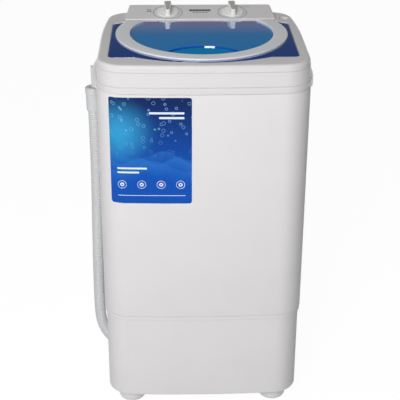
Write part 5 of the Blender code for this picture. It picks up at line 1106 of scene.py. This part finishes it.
for name, node, side in (
    ("left_carrying_lip", "left_handle", -1),
    ("right_carrying_lip", "right_handle", 1),
):
    sections = []
    for i in range(LIP_SECTIONS + 1):
        y = LIP_HALF_LENGTH * LIP_END_SHARE * (2 * i / LIP_SECTIONS - 1)
        root = lip_root(y)
        reach = lip_reach(y)
        drop = LIP_HEIGHT * (1 - (1 - LIP_END_HEIGHT_SHARE) * (y / LIP_HALF_LENGTH) ** 2)
        outer = rounded([(root + reach * a, LIP_TOP - drop * b) for a, b in LIP_SHARES], LIP_ROUNDING)
        room = max(reach - LIP_WALL, GAP)
        fall = drop - LIP_WALL
        inner = [(root + room * a, LIP_TOP - LIP_WALL - fall * b) for a, b in LIP_SHARES]
        inner = rounded(inner, LIP_INNER_ROUNDING)
        sections.append([(side * x, y, z) for x, z in outer + inner[::-1]])
    lip = make_piece(name, loft(sections), cover_abs)
    if side < 0:
        face_x = cover_low.x - LIP_REACH
        slot_low = (face_x - 2 * WALL, NOSE_Y[0] - 2 * GAP, NOSE_Z[0] - GAP)
        slot_high = (face_x + 2 * WALL, NOSE_Y[1] + 2 * GAP, NOSE_Z[1] + 2 * GAP)
        carve(lip, "DIFFERENCE", block(slot_low, slot_high))
    fit(lip, "cabinet", "cover_plastic", node)

# Hose hook: natural nylon. A band is clipped round the cuff, and its strap ends in a rounded head
# outside the left lip. A nose on the head's back goes in through the slot there.
HOOK_BAND_LOW = 0.6845
HOOK_BAND_HEIGHT = 0.012
HOOK_BAND_WALL = 0.0012
HOOK_BAND_EDGE = 0.0005
STRAP_LENGTH = 0.036
STRAP_WIDTH = 0.006
STRAP_THICKNESS = 0.002
HEAD_HALF_LENGTH = 0.011
HEAD_HALF_HEIGHT = 0.0128
HEAD_Z = 0.7275
HEAD_THICKNESS = 0.0036
HEAD_SECTIONS = 20
HEAD_STEPS = 5
HEAD_END_SHARE = 0.02
HEAD_RIM_SHARE = 0.4
HEAD_ROUND_SHARE = 0.9
# Nylon in its natural off-white, with the soft gloss that it has from the mould
strap_nylon = worked_surface(
    "natural_hook_nylon", "#D4D5D6", "#CACBCD", roughness=0.40, ripple=0.002, depth=0.00004
)
strap_y = (NOSE_Y[0] + NOSE_Y[1] - STRAP_WIDTH) / 2
head_y = strap_y + STRAP_WIDTH / 2
strap_x = -(lip_root(strap_y) + lip_reach(strap_y) + GAP)
head_x = -(lip_root(head_y - HEAD_HALF_LENGTH) + lip_reach(head_y - HEAD_HALF_LENGTH) + GAP)
band_inner = CUFF_RADIUS + GAP
band_outer = band_inner + HOOK_BAND_WALL
band_outline = [
    (band_inner, HOOK_BAND_LOW),
    (band_outer, HOOK_BAND_LOW),
    (band_outer, HOOK_BAND_LOW + HOOK_BAND_HEIGHT),
    (band_inner, HOOK_BAND_LOW + HOOK_BAND_HEIGHT),
]
band_shell = turned(rounded(band_outline, HOOK_BAND_EDGE), CUFF_SIDES, True, cuff_centre)
hook = make_piece("hose_hanging_hook", band_shell, strap_nylon)
head_rings = []
for i in range(HEAD_SECTIONS + 1):
    turn = math.pi * (HEAD_END_SHARE + (1 - 2 * HEAD_END_SHARE) * i / HEAD_SECTIONS)
    y = head_y - HEAD_HALF_LENGTH * math.cos(turn)
    half = HEAD_HALF_HEIGHT * math.sin(turn)
    bulge = HEAD_THICKNESS * (HEAD_RIM_SHARE + (1 - HEAD_RIM_SHARE) * math.sin(turn))
    outline = [(0.0, -half), (-bulge, -half), (-bulge, half), (0.0, half)]
    outline = rounded(outline, bulge * HEAD_ROUND_SHARE, HEAD_STEPS)
    head_rings.append([(head_x + x, y, HEAD_Z + z) for x, z in outline])
strap_low = (strap_x - STRAP_THICKNESS, strap_y, HOOK_BAND_LOW + GAP)
strap_high = (strap_x, strap_y + STRAP_WIDTH, HOOK_BAND_LOW + STRAP_LENGTH)
nose_low = (strap_x - STRAP_THICKNESS, NOSE_Y[0], NOSE_Z[0])
nose_high = (strap_x + LIP_WALL + 2 * GAP, NOSE_Y[1], NOSE_Z[1])
carve(hook, "UNION", loft(head_rings), block(strap_low, strap_high), block(nose_low, nose_high))
fit(hook, "cabinet", "strap_plastic", "hose_hook")

# Front label: a printed film, rolled by hand onto the bowed front. Its print is a plain one: a blue
# ground that lightens downwards, a cyan glow, waves and bubbles, with light bars and round icons.
LABEL_LIFT = 0.0002
LABEL_THICKNESS = 0.0003
LABEL_CORNER = 0.005
LABEL_CORNER_COLUMNS = 8
LABEL_COLUMN = 0.003
label_low, label_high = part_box("front_label")


def front_face(x):
    """How far forward the cabinet's front stands at a place across it."""
    half = HALF_WIDTH + CABINET_PROUD
    past = max(0.0, abs(x) - (half - FRONT_CORNER))
    y = FRONT_LINE + CABINET_SETBACK + FRONT_CORNER - math.sqrt(FRONT_CORNER**2 - past**2)
    return y - FRONT_BOW * (1 - (x / half) ** 2) * min(1.0, y / FRONT_LINE) ** 2


def laid_film(left, right, low, high, corner, lift, thickness):
    """A film with round corners, laid on the cabinet's bowed front."""
    columns = []
    for i in range(LABEL_CORNER_COLUMNS + 1):
        turn = math.pi / 2 * i / LABEL_CORNER_COLUMNS
        columns.append((left + corner * (1 - math.cos(turn)), corner * (1 - math.sin(turn))))
    count = max(2, round((right - left - 2 * corner) / LABEL_COLUMN))
    for i in range(1, count):
        columns.append((left + corner + (right - left - 2 * corner) * i / count, 0.0))
    for i in range(LABEL_CORNER_COLUMNS + 1):
        turn = math.pi / 2 * (1 - i / LABEL_CORNER_COLUMNS)
        columns.append((right - corner * (1 - math.cos(turn)), corner * (1 - math.sin(turn))))
    rings = []
    for x, inset in columns:
        back, face = front_face(x) - lift, front_face(x) - lift - thickness
        foot, top = low + inset, high - inset
        rings.append([(x, back, foot), (x, face, foot), (x, face, top), (x, back, top)])
    return loft(rings)


# Gloss-laminated film: deep printed blues under a smooth clear skin
BLUE = "#0450B2"
NAVY = "#04245C"
NAVY_SHARES = (0.30, 0.95)
CYAN = "#35A6DA"
GLOW_IN = 0.018
GLOW_DROP = 0.075
GLOW_CORE = 0.005
GLOW_REACH = 0.085
GLOW_SHARE = 0.8
# Each wave has the share of the label's height that it lies at, its swing, length and strength
WAVE_ROWS = ((0.47, 0.010, 0.110, 0.35), (0.42, 0.007, 0.075, 0.45), (0.37, 0.012, 0.140, 0.35))
WAVE_BLUE = "#2C78CC"
WAVE_EDGE = 0.004
WAVE_FALL = 0.035
BUBBLE_BLUE = "#8CC8F0"
BUBBLE_PITCH = 0.014
BUBBLE_INNER_SHARES = (0.20, 0.24)
BUBBLE_OUTER_SHARES = (0.26, 0.30)
BUBBLE_RISE_SHARES = (0.40, 0.75)
BUBBLE_STRENGTH = 0.55
label_film = worked_surface(
    "gloss_laminated_film", BLUE, BLUE, roughness=0.28, ripple=0.05, depth=0.00003, shine=0.15
)
tree = label_film.node_tree
place = add_node(tree, "ShaderNodeTexCoord").outputs["Object"]
axes = add_node(tree, "ShaderNodeSeparateXYZ", {0: place}).outputs
label_height = label_high.z - label_low.z


def level(share):
    """The height at a share of the label's own height, from its lower edge."""
    return label_low.z + share * label_height


tint = lay_colour(tree, linear(BLUE), NAVY, axes["Z"], level(NAVY_SHARES[0]), level(NAVY_SHARES[1]))
glow = {"X": label_low.x + GLOW_IN, "Y": label_low.y, "Z": label_high.z - GLOW_DROP}
away = {0: place, 1: add_node(tree, "ShaderNodeCombineXYZ", glow).outputs[0]}
away = add_node(tree, "ShaderNodeVectorMath", away, operation="DISTANCE").outputs["Value"]
tint = lay_colour(tree, tint, CYAN, away, GLOW_CORE, GLOW_REACH, GLOW_SHARE, 0.0, "SMOOTHSTEP")
for share, swing, length, strength in WAVE_ROWS:
    turn = {0: axes["X"], 1: math.tau / length}
    turn = add_node(tree, "ShaderNodeMath", turn, operation="MULTIPLY").outputs[0]
    crest = add_node(tree, "ShaderNodeMath", {0: turn}, operation="SINE").outputs[0]
    line = {0: crest, 1: swing, 2: level(share)}
    line = add_node(tree, "ShaderNodeMath", line, operation="MULTIPLY_ADD").outputs[0]
    below = add_node(tree, "ShaderNodeMath", {0: line, 1: axes["Z"]}, operation="SUBTRACT").outputs[0]
    fall = {"Value": below, "From Min": WAVE_EDGE, "From Max": WAVE_FALL, "To Min": strength, "To Max": 0.0}
    fall = add_node(tree, "ShaderNodeMapRange", fall).outputs[0]
    tint = lay_colour(tree, tint, WAVE_BLUE, below, 0.0, WAVE_EDGE, 0.0, fall)
# Bubbles are rings in the cells of a pattern, fainter further down the label
cells = {"Vector": place, "Scale": 1 / BUBBLE_PITCH}
cells = add_node(tree, "ShaderNodeTexVoronoi", cells).outputs["Distance"]
low, high = (level(share) for share in BUBBLE_RISE_SHARES)
rise = {"Value": axes["Z"], "From Min": low, "From Max": high, "To Max": BUBBLE_STRENGTH}
rise = add_node(tree, "ShaderNodeMapRange", rise).outputs[0]
low, high = BUBBLE_OUTER_SHARES
rim = {"Value": cells, "From Min": low, "From Max": high, "To Min": rise, "To Max": 0.0}
rim = add_node(tree, "ShaderNodeMapRange", rim).outputs[0]
tint = lay_colour(tree, tint, BUBBLE_BLUE, cells, *BUBBLE_INNER_SHARES, 0.0, rim)
tree.links.new(tint, tree.nodes["Principled BSDF"].inputs["Base Color"])
edges = (label_low.x, label_high.x, label_low.z, label_high.z)
film = laid_film(*edges, LABEL_CORNER, LABEL_LIFT, LABEL_THICKNESS)
fit(make_piece("front_label_film", film, label_film), "cabinet", "label_film", "front_label")

# Light print on the label: plain bars and four round icons, in a white ink printed on the film. A bar
# has its place from the label's left and top, its length and its height.
LABEL_BARS = [
    (0.080, 0.030, 0.070, 0.0045),
    (0.100, 0.040, 0.050, 0.0045),
    (0.014, 0.150, 0.060, 0.0040),
    (0.014, 0.159, 0.044, 0.0040),
    (0.014, 0.212, 0.138, 0.0012),
]
ICON_RADIUS = 0.0085
ICON_LINE = 0.0009
ICON_DROP = 0.188
ICON_SIDES = 48
ICON_SHARES = (0.14, 0.38, 0.62, 0.86)
ICON_DOT_SHARE = 0.35
ICON_DOT_LINE_SHARE = 0.3
# White ink with a breath of the blue below it, glossy as printed film is
white_ink = worked_surface(
    "printed_white_ink", "#E6F0FA", "#D6E6F6", roughness=0.32, ripple=0.002, depth=0.00002
)
print_lift = LABEL_LIFT / 2 + LABEL_THICKNESS
light_print = bmesh.new()
for left, drop, length, tall in LABEL_BARS:
    x, z = label_low.x + left, label_high.z - drop
    join(light_print, laid_film(x, x + length, z - tall, z, tall / 3, print_lift, INK_THICKNESS))
for share in ICON_SHARES:
    x = label_low.x + share * (label_high.x - label_low.x)
    tilt = math.atan((front_face(x + LABEL_COLUMN) - front_face(x - LABEL_COLUMN)) / (2 * LABEL_COLUMN))
    place = Matrix.Translation((x, front_face(x) - print_lift - INK_THICKNESS, label_high.z - ICON_DROP))
    place = place @ Matrix.Rotation(tilt, 4, "Z") @ Matrix.Rotation(math.pi / 2, 4, "X")
    for radius, line in (
        (ICON_RADIUS, ICON_LINE),
        (ICON_RADIUS * ICON_DOT_SHARE, ICON_RADIUS * ICON_DOT_LINE_SHARE),
    ):
        icon = flat_ring(radius, line, ICON_SIDES)
        icon.transform(place)
        join(light_print, icon)
fit(make_piece("label_light_print", light_print, white_ink), "cabinet", "label_film")

# Inner and plain pieces: the drive, the motor, the tub and the small parts keep their CAD shape. Each
# gets the finish of what it is made of, by its material slot.
finishes = {
    "cabinet_plastic": cabinet_polypropylene,
    "cover_plastic": cover_abs,
    "hose_plastic": hose_polyethylene,
    "strap_plastic": strap_nylon,
}
# Each row has a slot, whether it is a metal, and the surface's name, colours, roughness and ripples
for slot_name, metallic, *surface in (
    # Polypropylene of the tub: cold white, and smooth so that lint doesn't hold
    ("tub_plastic", 0.0, "tub_polypropylene", "#D5DCE2", "#CBD3DA", 0.30, 0.01, 0.0001),
    # Nylon filled with glass: nearly black, with a fine dull grain
    ("dark_plastic", 0.0, "glass_filled_nylon", "#26272A", "#1D1E20", 0.48, 0.002, 0.00004),
    # Rubber: black and dull
    ("black_rubber", 0.0, "moulded_black_rubber", "#1C1C1D", "#141415", 0.62, 0.001, 0.00004),
    # Steel ground bright, as on shafts
    ("steel", 1.0, "ground_steel", "#C9CACB", "#BDBEC0", 0.25, 0.0015, 0.00001),
    # Zinc plate: a warmer grey on screws and clips
    ("zinc_steel", 1.0, "zinc_plated_steel", "#CFCFC8", "#B9B9B0", 0.35, 0.002, 0.00002),
    # Stoved paint: dark grey, with no metal showing
    ("painted_steel", 0.0, "painted_steel", "#4C4E52", "#43454A", 0.40, 0.002, 0.00004),
    # Aluminium as cast: pale and rough
    ("cast_aluminium", 1.0, "cast_aluminium", "#B4B6B8", "#A2A4A7", 0.50, 0.0012, 0.0001),
    # Sintered bronze: brown, soft with oil
    ("bronze", 1.0, "oiled_sintered_bronze", "#B4884A", "#9A713A", 0.40, 0.0008, 0.00003),
    # Copper wire under varnish: red-brown, with the winding's small waves
    ("copper_winding", 1.0, "varnished_copper", "#A5623A", "#7E4526", 0.35, 0.0012, 0.0001),
):
    finish = worked_surface(*surface)
    finish.node_tree.nodes["Principled BSDF"].inputs["Metallic"].default_value = metallic
    finishes[slot_name] = finish
for subpart in frame["record"]["subparts"]:
    finish = finishes.get(subpart["material_slot"])
    if finish and subpart["node"] in frame["nodes"]:
        for slot in frame["nodes"][subpart["node"]].material_slots:
            slot.material = finish

# Studio floor: a wide sheet of white paper that the machine stands on. It is shown white to the
# camera, in a gloss finish's mirror image and through the lid, and keeps some of the shadow.
FLOOR_HALF = 6.0
FLOOR_ROUGHNESS = 0.9
PAPER_WHITE = (1.0, 1.0, 1.0, 1.0)
PAPER_STRENGTH = 1.06
PAPER_SHARE = 0.9


def white_rays(tree):
    """1 for the rays that see the background: the camera's, mirrored ones and those through the lid."""
    rays = add_node(tree, "ShaderNodeLightPath").outputs
    seen = {0: rays["Is Camera Ray"], 1: rays["Is Glossy Ray"]}
    seen = add_node(tree, "ShaderNodeMath", seen, operation="MAXIMUM").outputs[0]
    seen = {0: seen, 1: rays["Is Transmission Ray"]}
    return add_node(tree, "ShaderNodeMath", seen, operation="MAXIMUM").outputs[0]


# Uncoated paper: quite matt, a pale grey where it is lit as an object
floor_white = bpy.data.materials.new("studio_floor")
floor_white.use_nodes = True
tree = floor_white.node_tree
lit = tree.nodes["Principled BSDF"]
lit.inputs["Base Color"].default_value = linear("#DCDCDC")
lit.inputs["Roughness"].default_value = FLOOR_ROUGHNESS
glow = add_node(tree, "ShaderNodeEmission", {"Color": PAPER_WHITE, "Strength": PAPER_STRENGTH})
blend = {0: white_rays(tree), 1: PAPER_SHARE}
blend = add_node(tree, "ShaderNodeMath", blend, operation="MULTIPLY").outputs[0]
mixed = add_node(tree, "ShaderNodeMixShader", {0: blend, 1: lit.outputs[0], 2: glow.outputs[0]})
tree.links.new(mixed.outputs[0], tree.nodes["Material Output"].inputs["Surface"])
floor_shell = bmesh.new()
bmesh.ops.create_grid(floor_shell, x_segments=1, y_segments=1, size=FLOOR_HALF)
floor = make_piece("studio_floor", floor_shell, floor_white)

# Backdrop and room: the backdrop is white at the floor and falls off to a dark ceiling above, as a
# swept paper one does. The room's soft light comes more from the left than from the right.
SWEEP_START = 0.03
SWEEP_END = 0.33
ROOM_LEFT = -0.3
ROOM_RIGHT = 0.8
FILL_LEFT = 0.31
FILL_RIGHT = 0.10
world = bpy.data.worlds.new("studio")
bpy.context.scene.world = world
world.use_nodes = True
tree = world.node_tree
way = add_node(tree, "ShaderNodeTexCoord").outputs["Generated"]
way = add_node(tree, "ShaderNodeSeparateXYZ", {0: way}).outputs
shades = []
for value, start, end, low, high in (
    (way["X"], ROOM_LEFT, ROOM_RIGHT, FILL_LEFT, FILL_RIGHT),
    (way["Z"], SWEEP_START, SWEEP_END, 1.0, 0.0),
):
    run = {"Value": value, "From Min": start, "From Max": end, "To Min": low, "To Max": high}
    run = add_node(tree, "ShaderNodeMapRange", run, interpolation_type="SMOOTHSTEP").outputs[0]
    shades.append(add_node(tree, "ShaderNodeBackground", {"Color": PAPER_WHITE, "Strength": run}).outputs[0])
mixed = add_node(tree, "ShaderNodeMixShader", {0: white_rays(tree), 1: shades[0], 2: shades[1]})
tree.links.new(mixed.outputs[0], tree.nodes["World Output"].inputs["Surface"])

# Lamps: a large soft box in front, above and a little to the left, and a weak one overhead. Both aim
# at the machine's middle.
LAMP_AIM = Vector((0.0, 0.0, 0.45))
for name, place, size, watts in (
    ("key_softbox", (-0.6, -2.5, 1.9), 1.1, 59.0),
    ("top_softbox", (-0.3, 0.3, 2.6), 1.2, 2.8),
):
    lamp = bpy.data.lights.new(name, "AREA")
    lamp.size = size
    lamp.energy = watts
    holder = bpy.data.objects.new(name, lamp)
    bpy.context.scene.collection.objects.link(holder)
    turn = (LAMP_AIM - Vector(place)).to_track_quat("-Z", "Y").to_matrix().to_4x4()
    holder.matrix_world = Matrix.Translation(place) @ turn

bpy.context.scene.view_settings.view_transform = "Standard"
